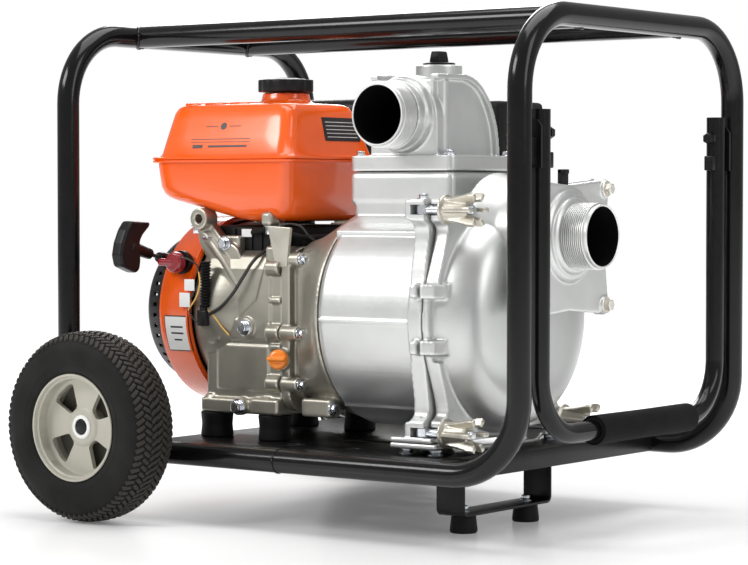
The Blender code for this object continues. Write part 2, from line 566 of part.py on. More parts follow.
def build_ports():
    flange = box(RISER_X - RISER_HALF, RISER_X + RISER_HALF, RISER_Y0, RISER_Y1, RISER_TOP + GAP, 497, bevel=3)
    arc = [(RISER_Y1 - 2, 496)]
    for k in range(9):
        t = math.radians(90 * k / 8)
        arc.append((-60 + 85 * math.cos(t), 500 + 108 * math.sin(t)))
    arc += [(-122, 606), (-122, 496)]
    body = prism(arc, RISER_X - 56, RISER_X + 56, "YZ")
    collar = cylinder(54, 30, (RISER_X, -123, PORT_Z), "Y", n=28)
    port = cylinder(PORT_R, 80, (RISER_X, PORT_MOUTH_Y + 40, PORT_Z), "Y", n=28)
    boss = cylinder(32, 40, (RISER_X, -40, 601), n=24)
    bore = cylinder(BORE_R, 130, (RISER_X, PORT_MOUTH_Y + 55, PORT_Z), "Y", n=28)
    drop = cylinder(BORE_R + 4, 90, (RISER_X, -68, 513), n=28)
    fill = cylinder(15, 110, (RISER_X, -40, 580), n=20)
    part("discharge_elbow", "alloy", flange, add=[body, collar, port, boss], cut=[bore, drop, fill])
    disc = cylinder(22, 3, (RISER_X, -40, 621 + GAP + 1.5), n=28)
    knob = box(RISER_X - 9, RISER_X + 9, -52, -28, 623, 640, bevel=2)
    part("priming_cap", "plastic", disc, add=[knob], origin=(RISER_X, -40, 621))
    plate = box(306 + GAP, 321, AXIS_Y - 100, AXIS_Y + 100, 284, 466, bevel=3)
    boss = cylinder(62, 12, (321, AXIS_Y, SUCTION_Z), "X", n=28)
    port = cylinder(PORT_R, 62, (SUCTION_MOUTH_X - 31, AXIS_Y, SUCTION_Z), "X", n=28)
    bolts = [cylinder(7, 16, (321, AXIS_Y + sy * 89.5, z), "X", n=6) for sy in (-1, 1) for z in (299, 451)]
    bore = cylinder(BORE_R, 90, (340, AXIS_Y, SUCTION_Z), "X", n=28)
    part("suction_flange", "alloy", plate, add=[boss, port] + bolts, cut=[bore])
    flap = cylinder(46, 5, (302, AXIS_Y, SUCTION_Z), "X", n=24)
    tab = box(299.6, 304.4, AXIS_Y - 19, AXIS_Y + 19, SUCTION_Z + 30, SUCTION_Z + 47)
    part("flap_valve", "rubber", flap, add=[tab], origin=(302, AXIS_Y, SUCTION_Z + 46))


def build_pump_foot():
    low = TRAY_Z + GAP
    pts = [(-216, 115), (-172, 115), (-160, low), (40, low), (52, 115), (96, 115), (96, 122.2), (48, 122.2),
           (36, 111), (-156, 111), (-168, 122.2), (-216, 122.2)]
    part("pump_foot", "alloy", prism(pts, 143, 216, "YZ"))


remove_all()
PARTS = collection("portable_fire_pump")
CUTTERS = collection("cutters")
build_frame()
build_feet()
build_wheels()
build_handle()
build_crankcase()
build_cylinder()
build_blower()
build_starter_grip()
build_rotor()
build_tank()
build_far_side()
build_controls()
build_casing()
build_cover()
build_clamps()
build_ports()
build_pump_foot()
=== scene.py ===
"""Visual model of the portable fire pump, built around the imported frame.

Shapes are made in millimetres and scaled to metres when they become pieces.
"""
import json
import math

import bmesh
import bpy
from mathutils import Matrix, Vector


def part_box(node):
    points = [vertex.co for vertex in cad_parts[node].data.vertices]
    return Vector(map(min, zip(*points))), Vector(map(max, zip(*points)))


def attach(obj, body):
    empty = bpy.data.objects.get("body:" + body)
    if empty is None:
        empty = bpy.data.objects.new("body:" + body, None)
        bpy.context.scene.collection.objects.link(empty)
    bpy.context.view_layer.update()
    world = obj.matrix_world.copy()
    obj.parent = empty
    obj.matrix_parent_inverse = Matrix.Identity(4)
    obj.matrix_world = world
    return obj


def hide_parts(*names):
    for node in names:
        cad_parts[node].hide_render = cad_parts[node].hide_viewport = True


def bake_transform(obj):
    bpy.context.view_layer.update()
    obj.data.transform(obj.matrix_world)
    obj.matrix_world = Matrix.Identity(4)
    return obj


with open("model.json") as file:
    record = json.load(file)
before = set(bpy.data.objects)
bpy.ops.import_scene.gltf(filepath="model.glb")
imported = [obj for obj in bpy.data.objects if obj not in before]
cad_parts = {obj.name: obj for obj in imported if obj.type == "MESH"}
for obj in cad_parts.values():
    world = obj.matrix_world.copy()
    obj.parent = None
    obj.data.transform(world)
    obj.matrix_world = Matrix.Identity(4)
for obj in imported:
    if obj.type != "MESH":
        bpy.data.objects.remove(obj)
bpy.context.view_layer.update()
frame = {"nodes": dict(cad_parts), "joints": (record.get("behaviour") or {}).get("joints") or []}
JOINTS = {joint["name"]: joint for joint in frame["joints"]}


# ---------------------------------------------------------------- sizes from the frame

def span(node):
    """Lowest and highest corner of a CAD node, in millimetres."""
    low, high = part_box(node)
    return low * 1000, high * 1000


def pivot(joint):
    """Where a joint turns, in millimetres."""
    return Vector(JOINTS[joint]["pos_m"]) * 1000


RAIL_LOW, RAIL_HIGH = span("top_rail_near")
TUBE_R = (RAIL_HIGH.z - RAIL_LOW.z) / 2
RAIL_TOP_Z, TOP_RAIL_Y = RAIL_HIGH.z - TUBE_R, -RAIL_LOW.y - TUBE_R
HOOP_LOW, HOOP_HIGH = span("hoop_pump_end")
HOOP_X, HOOP_Y, RAIL_LOW_Z = HOOP_HIGH.x - TUBE_R, HOOP_HIGH.y - TUBE_R, HOOP_LOW.z + TUBE_R
BEND_R, GAP = 100.0, 0.3

HANDLE_LOW, HANDLE_HIGH = span("handle_tube")
HANDLE_R = (HANDLE_HIGH.x - HANDLE_LOW.x) / 2
HANDLE_X, HANDLE_Y = HANDLE_HIGH.x - HANDLE_R, HANDLE_HIGH.y - HANDLE_R
HANDLE_BAR_Z, HANDLE_TOP_Z, PIVOT_Z = HANDLE_LOW.z + HANDLE_R, HANDLE_HIGH.z, pivot("handle_fold").z

TYRE_LOW, TYRE_HIGH = span("tyre_near")
WHEEL_R, TYRE_HALF = (TYRE_HIGH.z - TYRE_LOW.z) / 2, (TYRE_HIGH.y - TYRE_LOW.y) / 2
WHEEL_X, WHEEL_Y = (TYRE_LOW.x + TYRE_HIGH.x) / 2, TYRE_HIGH.y - TYRE_HALF

SHAFT = pivot("crank_spin")
AXIS_Y, AXIS_Z = SHAFT.y, SHAFT.z
REAR_X, JOINT_X = 16.0, span("pump_casing")[1].x + GAP / 2
CASE_R, FLANGE_R = 152.0, 161.0
LUG_DZ, PAD_T = (39.5, -33.5), 22.0
CLAMP_Y, CLAMP_Z = pivot("bolt_4_swing").y - AXIS_Y, pivot("bolt_4_swing").z - AXIS_Z
PIN_X = pivot("bolt_4_swing").x
ELBOW_LOW, ELBOW_HIGH = span("discharge_elbow")
RISER_X, RISER_HALF = (ELBOW_LOW.x + ELBOW_HIGH.x) / 2, (ELBOW_HIGH.x - ELBOW_LOW.x) / 2
PORT_MOUTH_Y, PORT_Z, PORT_R, PORT_BORE = ELBOW_LOW.y, 550.7, 43.9, 38.8
RISER_Y0, RISER_Y1, FLANGE_Z = -131.0, ELBOW_HIGH.y, ELBOW_LOW.z
SUCTION_LOW, SUCTION_HIGH = span("suction_flange")
SUCTION_MOUTH_X, SUCTION_Z, PLATE_X = SUCTION_HIGH.x, 390.8, SUCTION_LOW.x
TANK_LOW, TANK_HIGH = span("fuel_tank")
TANK_X, TANK_Y = (TANK_LOW.x + TANK_HIGH.x) / 2, (TANK_LOW.y + TANK_HIGH.y) / 2
CASE_X0, CASE_X1 = span("crankcase")[0].x, span("crankcase")[1].x
BASE_Z = span("crankcase")[0].z
TRAY_LOW, TRAY_HIGH = span("base_tray")
ROPE_EYE = Vector((-310, -142, 352))
EXHAUST_Y, EXHAUST_Z = 160, 505
CARB_Y, CARB_Z = 118, 460
PLUG_Y = -40

CAMERA_AT, CAMERA_TILT, CAMERA_TURN, CAMERA_LENS = (2.1047, -2.8701, 0.4459), 87.998, 36.818, 122.11
LAMPS = [("key", (-1.6, -2.6, 2.3), 1.6, 1.0, 62), ("side", (2.6, -0.4, 1.7), 0.9, 2.0, 20),
         ("top", (0.1, 0.2, 2.7), 2.2, 2.2, 58), ("rim", (-1.8, 2.2, 1.9), 1.2, 1.6, 35)]
LAMP_TARGET, FLOOR_HALF, FLOOR_FADE = Vector((0, 0, 0.33)), 9.0, (0.55, 2.0, 0.12, 0.62)
WORLD_FILL, WORLD_SEEN = 0.42, 1.0


# ---------------------------------------------------------------- materials

def surface(name, slot, colour, rough, metal=0.0, vary=0.06, blotch=25.0, grain=900.0, bump=0.12,
            depth=0.0004, spread=0.06, coat=0.0, shine=0.5, stretch=(1, 1, 1), edge_wear_and_highlight=None):
    """Principled surface whose colour, roughness and relief vary with noise in object space."""
    mat = bpy.data.materials.new(name)
    mat.use_nodes = True
    nodes, links = mat.node_tree.nodes, mat.node_tree.links
    bsdf = nodes["Principled BSDF"]
    bsdf.inputs["Metallic"].default_value = metal
    bsdf.inputs["Coat Weight"].default_value = coat
    bsdf.inputs["Coat Roughness"].default_value = 0.08
    bsdf.inputs["Specular IOR Level"].default_value = shine
    place = nodes.new("ShaderNodeTexCoord")
    scaled = nodes.new("ShaderNodeMapping")
    scaled.inputs["Scale"].default_value = stretch
    links.new(place.outputs["Object"], scaled.inputs["Vector"])

    def noise(scale, detail):
        node = nodes.new("ShaderNodeTexNoise")
        node.inputs["Scale"].default_value = scale
        node.inputs["Detail"].default_value = detail
        links.new(scaled.outputs["Vector"], node.inputs["Vector"])
        return node.outputs["Fac"]

    ramp = nodes.new("ShaderNodeValToRGB")
    ramp.color_ramp.elements[0].position, ramp.color_ramp.elements[1].position = 0.35, 0.65
    for element, factor in zip(ramp.color_ramp.elements, (1 - vary, 1 + vary)):
        element.color = (*(min(1.0, c * factor) for c in colour), 1.0)
    links.new(noise(blotch, 5.0), ramp.inputs["Fac"])
    shade = ramp.outputs["Color"]
    # Sharp convex edges, found by pointiness, take a lighter colour here: partly edge wear, partly a painted
    # edge highlight.
    if edge_wear_and_highlight:
        edge = nodes.new("ShaderNodeValToRGB")
        edge.color_ramp.elements[0].position, edge.color_ramp.elements[1].position = 0.51, 0.58
        links.new(nodes.new("ShaderNodeNewGeometry").outputs["Pointiness"], edge.inputs["Fac"])
        mix = nodes.new("ShaderNodeMix")
        mix.data_type = "RGBA"
        links.new(edge.outputs["Color"], mix.inputs["Factor"])
        links.new(shade, mix.inputs["A"])
        mix.inputs["B"].default_value = (*edge_wear_and_highlight, 1.0)
        shade = mix.outputs["Result"]
    links.new(shade, bsdf.inputs["Base Color"])
    level = nodes.new("ShaderNodeMapRange")
    level.inputs["To Min"].default_value = max(0.02, rough - spread)
    level.inputs["To Max"].default_value = min(1.0, rough + spread)
    links.new(noise(blotch * 4, 3.0), level.inputs["Value"])
    links.new(level.outputs["Result"], bsdf.inputs["Roughness"])
    relief = nodes.new("ShaderNodeBump")
    relief.inputs["Strength"].default_value = bump
    relief.inputs["Distance"].default_value = depth
    links.new(noise(grain, 2.0), relief.inputs["Height"])
    links.new(relief.outputs["Normal"], bsdf.inputs["Normal"])
    mat["slot"] = slot
    return mat


# Record slot, colour, roughness and what else differs from a plain surface.
FINISHES = {
    "black_gloss": ("frame_paint", (0.0045, 0.0045, 0.005), 0.16,
                    dict(vary=0.2, grain=420, bump=0.10, depth=0.0003, shine=0.3)),
    "black_satin": ("frame_paint", (0.006, 0.006, 0.0065), 0.30,
                    dict(vary=0.25, grain=700, bump=0.2, shine=0.25)),
    "tyre": ("tyre_rubber", (0.011, 0.0105, 0.010), 0.66, dict(vary=0.3, grain=1400, bump=0.3, shine=0.16)),
    # The tread's lighter edge colour is partly wear, partly a painted edge highlight.
    "tread": ("tyre_rubber", (0.010, 0.0095, 0.0085), 0.62,
              dict(vary=0.35, grain=1200, bump=0.4, shine=0.3, edge_wear_and_highlight=(0.03, 0.027, 0.022))),
    "rubber": ("rubber", (0.007, 0.007, 0.007), 0.55, dict(vary=0.2, grain=1500, bump=0.3, shine=0.2)),
    "foam": ("rubber", (0.006, 0.006, 0.006), 0.92,
             dict(vary=0.3, grain=1700, bump=0.7, depth=0.0006, shine=0.2)),
    "rim": ("rim_plastic", (0.43, 0.415, 0.35), 0.42, dict(vary=0.04, grain=1300, bump=0.1)),
    # A darker copy of the rim colour for the disc deep inside the wheel: painted shade behind the rim's
    # windows.
    "rim_painted_shade": ("rim_plastic", (0.10, 0.095, 0.075), 0.55, dict(vary=0.1, grain=1300, bump=0.1)),
    "plastic": ("black_plastic", (0.008, 0.008, 0.009), 0.36,
                dict(vary=0.2, grain=1300, bump=0.3, shine=0.25)),
    "orange": ("orange_paint", (0.88, 0.112, 0.006), 0.2,
               dict(vary=0.05, blotch=9, grain=350, bump=0.05, depth=0.0003, coat=0.4)),
    # The lighter edge colours of silver, cast and nut_cast are partly edge wear, partly a painted edge
    # highlight.
    "silver": ("pump_alloy", (0.62, 0.63, 0.62), 0.4,
               dict(metal=0.8, vary=0.03, grain=750, bump=0.2, depth=0.0003, edge_wear_and_highlight=(0.86, 0.86, 0.85))),
    "cast": ("engine_casting", (0.38, 0.36, 0.305), 0.38,
             dict(metal=0.75, vary=0.08, grain=650, bump=0.25, edge_wear_and_highlight=(0.68, 0.65, 0.57))),
    "nut_cast": ("pump_alloy", (0.50, 0.47, 0.40), 0.38,
                 dict(metal=0.8, vary=0.08, grain=700, bump=0.25, edge_wear_and_highlight=(0.85, 0.82, 0.75))),
    "zinc": ("steel", (0.66, 0.69, 0.73), 0.2,
             dict(metal=1.0, vary=0.08, blotch=120, grain=1200, bump=0.08, stretch=(1, 1, 6))),
    "steel": ("steel", (0.42, 0.41, 0.39), 0.38,
              dict(metal=1.0, vary=0.12, blotch=60, grain=900, bump=0.15, stretch=(1, 6, 1))),
    "guard": ("black_steel", (0.007, 0.007, 0.007), 0.5, dict(vary=0.2, grain=800, bump=0.3, shine=0.2)),
    # Near-black finish for the sheets inside the ports: painted shade where the port's inside lies in shadow.
    "bore": ("black_plastic", (0.003, 0.003, 0.003), 0.8, dict(vary=0.3, grain=900, bump=0.3, shine=0.1)),
    "red": ("red_plastic", (0.25, 0.004, 0.012), 0.24, dict(vary=0.08, grain=1000, bump=0.1, coat=0.4)),
    "amber": ("amber_plastic", (0.93, 0.25, 0.012), 0.3, dict(vary=0.05, grain=1000, bump=0.1, coat=0.3)),
    "label": ("rim_plastic", (0.78, 0.78, 0.76), 0.35, dict(vary=0.02, grain=1500, bump=0.05)),
    "ink": ("black_plastic", (0.02, 0.018, 0.018), 0.4, dict(vary=0.1, grain=1500, bump=0.05)),
    "yellow_wire": ("amber_plastic", (0.85, 0.50, 0.12), 0.4, dict(vary=0.06, grain=1500, bump=0.1)),
}
M = {name: surface(name, slot, colour, rough, **more)
     for name, (slot, colour, rough, more) in FINISHES.items()}


# ---------------------------------------------------------------- shapes

TURNS = {"X": Matrix.Rotation(math.pi / 2, 4, "Y"), "Y": Matrix.Rotation(-math.pi / 2, 4, "X"), "Z": Matrix()}


def turned(axis):
    """Rotation taking local +Z onto the axis."""
    if isinstance(axis, str):
        return TURNS[axis]
    return Vector(axis).normalized().to_track_quat("Z", "Y").to_matrix().to_4x4()


def shape(bm, matrix=Matrix()):
    bmesh.ops.transform(bm, matrix=matrix, verts=bm.verts)
    bmesh.ops.recalc_face_normals(bm, faces=bm.faces[:])
    mesh = bpy.data.meshes.new("shape")
    bm.to_mesh(mesh)
    bm.free()
    return bpy.data.objects.new("shape", mesh)


def join(*shapes):
    """One shape holding all the given ones, which are deleted."""
    bm = bmesh.new()
    for item in shapes:
        bm.from_mesh(item.data)
        bpy.data.objects.remove(item)
    return shape(bm)


def copied(item, matrix):
    bm = bmesh.new()
    bm.from_mesh(item.data)
    return shape(bm, matrix)


def settle(item):
    """Apply the modifiers of a shape."""
    bpy.context.scene.collection.objects.link(item)
    bpy.context.view_layer.update()
    mesh = bpy.data.meshes.new_from_object(item.evaluated_get(bpy.context.evaluated_depsgraph_get()))
    item.modifiers.clear()
    item.data = mesh
    bpy.context.scene.collection.objects.unlink(item)
    return item


def cut(base, *tools):
    """Take the tools away from the base, and delete them."""
    for tool in tools:
        bpy.context.scene.collection.objects.link(tool)
        mod = base.modifiers.new("bool", "BOOLEAN")
        mod.operation, mod.solver, mod.object = "DIFFERENCE", "EXACT", tool
    settle(base)
    for tool in tools:
        bpy.data.objects.remove(tool)
    return base


def cast(item, voxel=2.0, passes=4):
    """Melt overlapping solids into one casting with soft fillets."""
    mod = item.modifiers.new("skin", "REMESH")
    mod.mode, mod.voxel_size = "VOXEL", voxel
    mod = item.modifiers.new("edge_wear_and_highlight", "SMOOTH")
    mod.factor, mod.iterations = 0.5, passes
    return settle(item)


def soften(item, width=1.0, segments=2, angle=32):
    mod = item.modifiers.new("edge", "BEVEL")
    mod.width, mod.segments, mod.angle_limit = width, segments, math.radians(angle)
    return settle(item)


def skin(rings, closed=False, caps=True):
    """Surface through rings of equal point count; closed joins the last ring to the first."""
    bm = bmesh.new()
    loops = [[bm.verts.new(p) for p in ring] for ring in rings]
    pairs = list(zip(loops, loops[1:])) + ([(loops[-1], loops[0])] if closed else [])
    for low, high in pairs:
        for i in range(len(low)):
            j = (i + 1) % len(low)
            bm.faces.new((low[i], low[j], high[j], high[i]))
    if caps and not closed:
        bm.faces.new(list(reversed(loops[0])))
        bm.faces.new(loops[-1])
    bmesh.ops.remove_doubles(bm, verts=bm.verts, dist=0.001)
    return shape(bm)


def lathe(profile, at=(0, 0, 0), axis="Z", steps=64, closed=True):
    """Solid of revolution from (radius, height) points; closed joins the profile's end to its start."""
    turn = Matrix.Translation(at) @ turned(axis)
    rings = []
    for k in range(steps):
        a = 2 * math.pi * k / steps
        rings.append([turn @ Vector((r * math.cos(a), r * math.sin(a), h)) for r, h in profile])
    bm = bmesh.new()
    loops = [[bm.verts.new(p) for p in ring] for ring in rings]
    last = len(profile) if closed else len(profile) - 1
    for low, high in zip(loops, loops[1:] + loops[:1]):
        for i in range(last):
            j = (i + 1) % len(profile)
            if max(profile[i][0], profile[j][0]) > 0.001:
                bm.faces.new((low[i], low[j], high[j], high[i]))
    bmesh.ops.remove_doubles(bm, verts=bm.verts, dist=0.001)
    bmesh.ops.dissolve_degenerate(bm, edges=bm.edges, dist=0.0005)
    return shape(bm)


def cylinder(r, length, at, axis="Z", n=48):
    bm = bmesh.new()
    bmesh.ops.create_cone(bm, cap_ends=True, segments=n, radius1=r, radius2=r, depth=length)
    return shape(bm, Matrix.Translation(at) @ turned(axis))


def block(size, at, rotation=Matrix(), bevel=0.0, segments=3):
    bm = bmesh.new()
    bmesh.ops.create_cube(bm, size=1.0)
    bmesh.ops.scale(bm, vec=size, verts=bm.verts)
    if bevel:
        bmesh.ops.bevel(bm, geom=bm.edges[:], offset=bevel, segments=segments, profile=0.5, affect="EDGES")
    return shape(bm, Matrix.Translation(at) @ rotation)


def box(x0, x1, y0, y1, z0, z1, bevel=0.0, segments=3):
    return block((x1 - x0, y1 - y0, z1 - z0), ((x0 + x1) / 2, (y0 + y1) / 2, (z0 + z1) / 2), bevel=bevel,
                 segments=segments)


def prism(outline, start, end, plane="YZ"):
    """Outline in a plane, extruded along the remaining axis."""
    lay = {"YZ": lambda a, b, c: (c, a, b), "XZ": lambda a, b, c: (a, c, b), "XY": lambda a, b, c: (a, b, c)}
    return skin([[lay[plane](a, b, c) for a, b in outline] for c in (start, end)])


def rounded(outline, radius, steps=6):
    """Closed outline with its corners replaced by arcs."""
    out, count = [], len(outline)
    for i in range(count):
        a, b, c = (Vector(outline[k % count]) for k in (i - 1, i, i + 1))
        u, v = (a - b), (c - b)
        reach = min(radius, 0.45 * u.length, 0.45 * v.length)
        start, end = b + u.normalized() * reach, b + v.normalized() * reach
        for k in range(steps + 1):
            t = k / steps
            out.append(tuple(start * (1 - t) ** 2 + b * 2 * t * (1 - t) + end * t ** 2))
    return out


def curve_through(points, per=6):
    """Catmull-Rom curve through points of any dimension."""
    pts = [Vector(p) for p in points]
    pts = [pts[0] * 2 - pts[1]] + pts + [pts[-1] * 2 - pts[-2]]
    out = []
    for p0, p1, p2, p3 in zip(pts, pts[1:], pts[2:], pts[3:]):
        for k in range(per):
            t = k / per
            out.append((p1 * 2 + (p2 - p0) * t + (p0 * 2 - p1 * 5 + p2 * 4 - p3) * t ** 2
                        + (p1 * 3 - p0 - p2 * 3 + p3) * t ** 3) / 2)
    return [tuple(p) for p in out + [pts[-2]]]


def bent_path(points, radius, steps=12):
    """Polyline with circular bends."""
    pts = [Vector(p) for p in points]
    out = [pts[0]]
    for a, b, c in zip(pts, pts[1:], pts[2:]):
        u, v = (a - b).normalized(), (c - b).normalized()
        half = u.angle(v) / 2
        centre = b + (u + v).normalized() * radius / math.sin(half)
        start, end = b + u * radius / math.tan(half) - centre, b + v * radius / math.tan(half) - centre
        swing = start.angle(end)
        for i in range(steps + 1):
            t = i / steps
            arc = start * math.sin((1 - t) * swing) + end * math.sin(t * swing)
            out.append(centre + arc / math.sin(swing))
    return out + [pts[-1]]


def sweep(points, radius, n=28, closed=False):
    """Round section along a path; radius is one number or one for each point."""
    pts = [Vector(p) for p in points]
    radii = radius if isinstance(radius, list) else [radius] * len(pts)
    rings, side = [], None
    for i, p in enumerate(pts):
        ahead = pts[(i + 1) % len(pts)] - pts[i - 1] if closed else \
            pts[min(i + 1, len(pts) - 1)] - pts[max(i - 1, 0)]
        ahead.normalize()
        side = ahead.orthogonal() if side is None else side - ahead * side.dot(ahead)
        side.normalize()
        up = ahead.cross(side)
        turns = [2 * math.pi * k / n for k in range(n)]
        rings.append([p + (side * math.cos(t) + up * math.sin(t)) * radii[i] for t in turns])
    return skin(rings, closed)


def ring_of(count, make, start=0.0):
    """Join what make(rotation about X) gives for evenly spaced turns."""
    return join(*[make(Matrix.Rotation(math.radians(start + 360 * k / count), 4, "X")) for k in range(count)])


def hex_bolt(at, axis, r=7.0, height=7.0, washer=True):
    """Hexagon head with a chamfered crown, on its washer; it stands up from at along axis."""
    turn = Matrix.Translation(at) @ turned(axis)
    lift = 1.6 if washer else 0.0
    head = soften(cylinder(r, height, (0, 0, lift + height / 2), n=6), 0.5)
    crown = lathe([(0, lift + height + 0.5), (r * 0.72, lift + height + 0.5), (r * 0.84, lift + height - 0.4),
                   (0, lift + height - 0.4)], steps=32)
    parts = [head, crown]
    if washer:
        parts.append(lathe([(0, 1.7), (r * 1.28, 1.7), (r * 1.36, 1.2), (r * 1.36, 0), (0, 0)], steps=32))
    return copied(join(*parts), turn)


def piece(name, item, mat, body="unit", stands_for=(), angle=34):
    """Name a shape, scale it to metres, and put it on its body with its material."""
    item.name = item.data.name = name
    bpy.context.scene.collection.objects.link(item)
    item.data.transform(Matrix.Scale(0.001, 4))
    item.data.materials.clear()
    item.data.materials.append(M[mat])
    item.data.shade_smooth()
    item.data.set_sharp_from_angle(angle=math.radians(angle))
    if body:
        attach(item, body)
    if stands_for:
        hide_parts(*stands_for)
    return item


def keep(node, mat, bevel=0.8):
    """Leave a CAD node in view, with a finish and soft edges."""
    ob = frame["nodes"][node]
    for slot in ob.material_slots:
        slot.material = M[mat]
    mod = ob.modifiers.new("edge", "BEVEL")
    mod.width, mod.segments, mod.angle_limit = bevel * 0.001, 2, math.radians(35)


# ---------------------------------------------------------------- carrying frame

def weld(points, r=2.0):
    """Bead of overlapping drops along a closed path."""
    return sweep(points, [r * (1 + 0.22 * math.sin(2.2 * i)) for i in range(len(points))], n=10, closed=True)


def around(at, r, axis="X", count=72):
    turn = Matrix.Translation(at) @ turned(axis)
    return [turn @ Vector((r * math.cos(2 * math.pi * k / count), r * math.sin(2 * math.pi * k / count), 0))
            for k in range(count)]


def build_frame():
    for name, s in (("hoop_engine_end", -1), ("hoop_pump_end", 1)):
        x, end = s * HOOP_X, s * GAP / 2
        corners = [(end, -HOOP_Y, RAIL_LOW_Z), (x, -HOOP_Y, RAIL_LOW_Z), (x, -HOOP_Y, RAIL_TOP_Z),
                   (x, HOOP_Y, RAIL_TOP_Z), (x, HOOP_Y, RAIL_LOW_Z), (end, HOOP_Y, RAIL_LOW_Z)]
        piece(name + "_tube", sweep(bent_path(corners, BEND_R, 16), TUBE_R, 36), "black_gloss",
              stands_for=[name])
    beads = [weld(around((0, s * HOOP_Y, RAIL_LOW_Z), TUBE_R), 1.3) for s in (-1, 1)]
    for name, s in (("top_rail_near", -1), ("top_rail_far", 1)):
        y = s * TOP_RAIL_Y
        ends = [(-HOOP_X + 3, y, RAIL_TOP_Z), (HOOP_X - 3, y, RAIL_TOP_Z)]
        piece(name + "_tube", sweep(ends, TUBE_R, 36), "black_gloss", stands_for=[name])
        for sx in (-1, 1):
            saddle = []
            for k in range(72):
                a = 2 * math.pi * k / 72
                reach = TUBE_R * abs(math.sin(a)) + 0.6
                saddle.append((sx * (HOOP_X - reach), y + TUBE_R * math.sin(a),
                               RAIL_TOP_Z + min(TUBE_R * math.cos(a), TUBE_R - 2.6)))
            beads.append(weld(saddle))
    piece("frame_welds", join(*beads), "black_gloss")


def build_tray():
    x0, x1, top, low = TRAY_LOW.x, TRAY_HIGH.x, TRAY_HIGH.z, TRAY_LOW.z
    half, t = TRAY_HIGH.y, 4.0
    outline = [(x0, low), (x0, top), (x1, top), (x1, low), (x1 - t, low), (x1 - t, top - t),
               (x0 + t, top - t),
               (x0 + t, low)]
    plate = prism(outline, -half, half, "XZ")
    holes = [cylinder(16, 40, (x, y, top), n=40) for x in (-40, 60) for y in (-190, 150)]
    holes += [box(-30, 70, y - 9, y + 9, top - 20, top + 20, bevel=8.5) for y in (-90, 60)]
    plate = soften(cut(plate, *holes), 1.2, 3)
    piece("base_tray_plate", plate, "black_satin", stands_for=["base_tray"])
    y0, y1 = span("foot_bracket")[0].y, span("foot_bracket")[1].y
    x0, x1, high = span("foot_bracket")[0].x, span("foot_bracket")[1].x, span("foot_bracket")[1].z
    outer = [(y0, high), (y0, 24), (y1, 24), (y1, high)]
    bends = bent_path([(0, a, b) for a, b in outer], 10, 8)
    inner = bent_path([(0, a, b) for a, b in ((y0 + 4, high), (y0 + 4, 28), (y1 - 4, 28), (y1 - 4, high))],
                      6, 8)
    path = [(p.y, p.z) for p in bends] + [(p.y, p.z) for p in reversed(inner)]
    strap = soften(prism(path, x0, x1), 0.8)
    piece("foot_strap", strap, "black_satin", stands_for=["foot_bracket"])
    bolts = []
    for name in ("foot_near", "foot_far"):
        low, high = span(name)
        at = ((low.x + high.x) / 2, (low.y + high.y) / 2, 0)
        profile = [(0, 23.7), (15.5, 23.7), (16.4, 23), (18.4, 5), (18.4, 2.2), (17.4, 0.4), (16.5, 0),
                   (6, 0),
                   (5.5, 3), (0, 3)]
        piece(name + "_rubber", lathe(profile, at), "rubber", stands_for=[name])
        bolts.append(hex_bolt((at[0], at[1], 28), "Z", 6.5, 6))
    piece("foot_bolts", join(*bolts), "zinc")
    for i in range(1, 5):
        low, high = span(f"engine_mount_{i}")
        at = ((low.x + high.x) / 2, (low.y + high.y) / 2, low.z)
        h = high.z - low.z
        profile = curve_through([(21.6, 0), (22.8, 1.5), (22.6, 6), (21.7, h * 0.42), (21.6, h * 0.55),
                                 (22.6, h - 6), (22.8, h - 1.5), (21.6, h)], 4)
        piece(f"engine_mount_{i}_rubber", lathe([(0, 0)] + profile + [(0, h)], at), "rubber",
              stands_for=[f"engine_mount_{i}"])


# ---------------------------------------------------------------- wheels

def tread(centre):
    """Rows of slanted blocks wrapped round the crown and the shoulders."""
    rows = [(0, 0.0, 0.0), (10, 0.4, 2.0), (20, 2.0, 12.0), (29.5, 6.6, 34.0)]
    blocks, count = [], 80
    for index, (offset, drop, lean) in enumerate(rows):
        for sign in ((1, -1) if offset else (1,)):
            slant = 34 if (index + (sign > 0)) % 2 else -34
            for k in range(count):
                a = 2 * math.pi * (k + 0.5 * (index % 2)) / count
                spin = Matrix.Rotation(a, 4, "Y")
                tilt = Matrix.Rotation(math.radians(-sign * lean), 4, "X")
                skew = Matrix.Rotation(math.radians(slant), 4, "Z")
                at = Vector(centre) + spin @ Vector((0, sign * offset, WHEEL_R - 2.5 - drop))
                blocks.append(block((5.6, 12.2, 4.8), at, spin @ tilt @ skew, 1.3, 2))
    return join(*blocks)


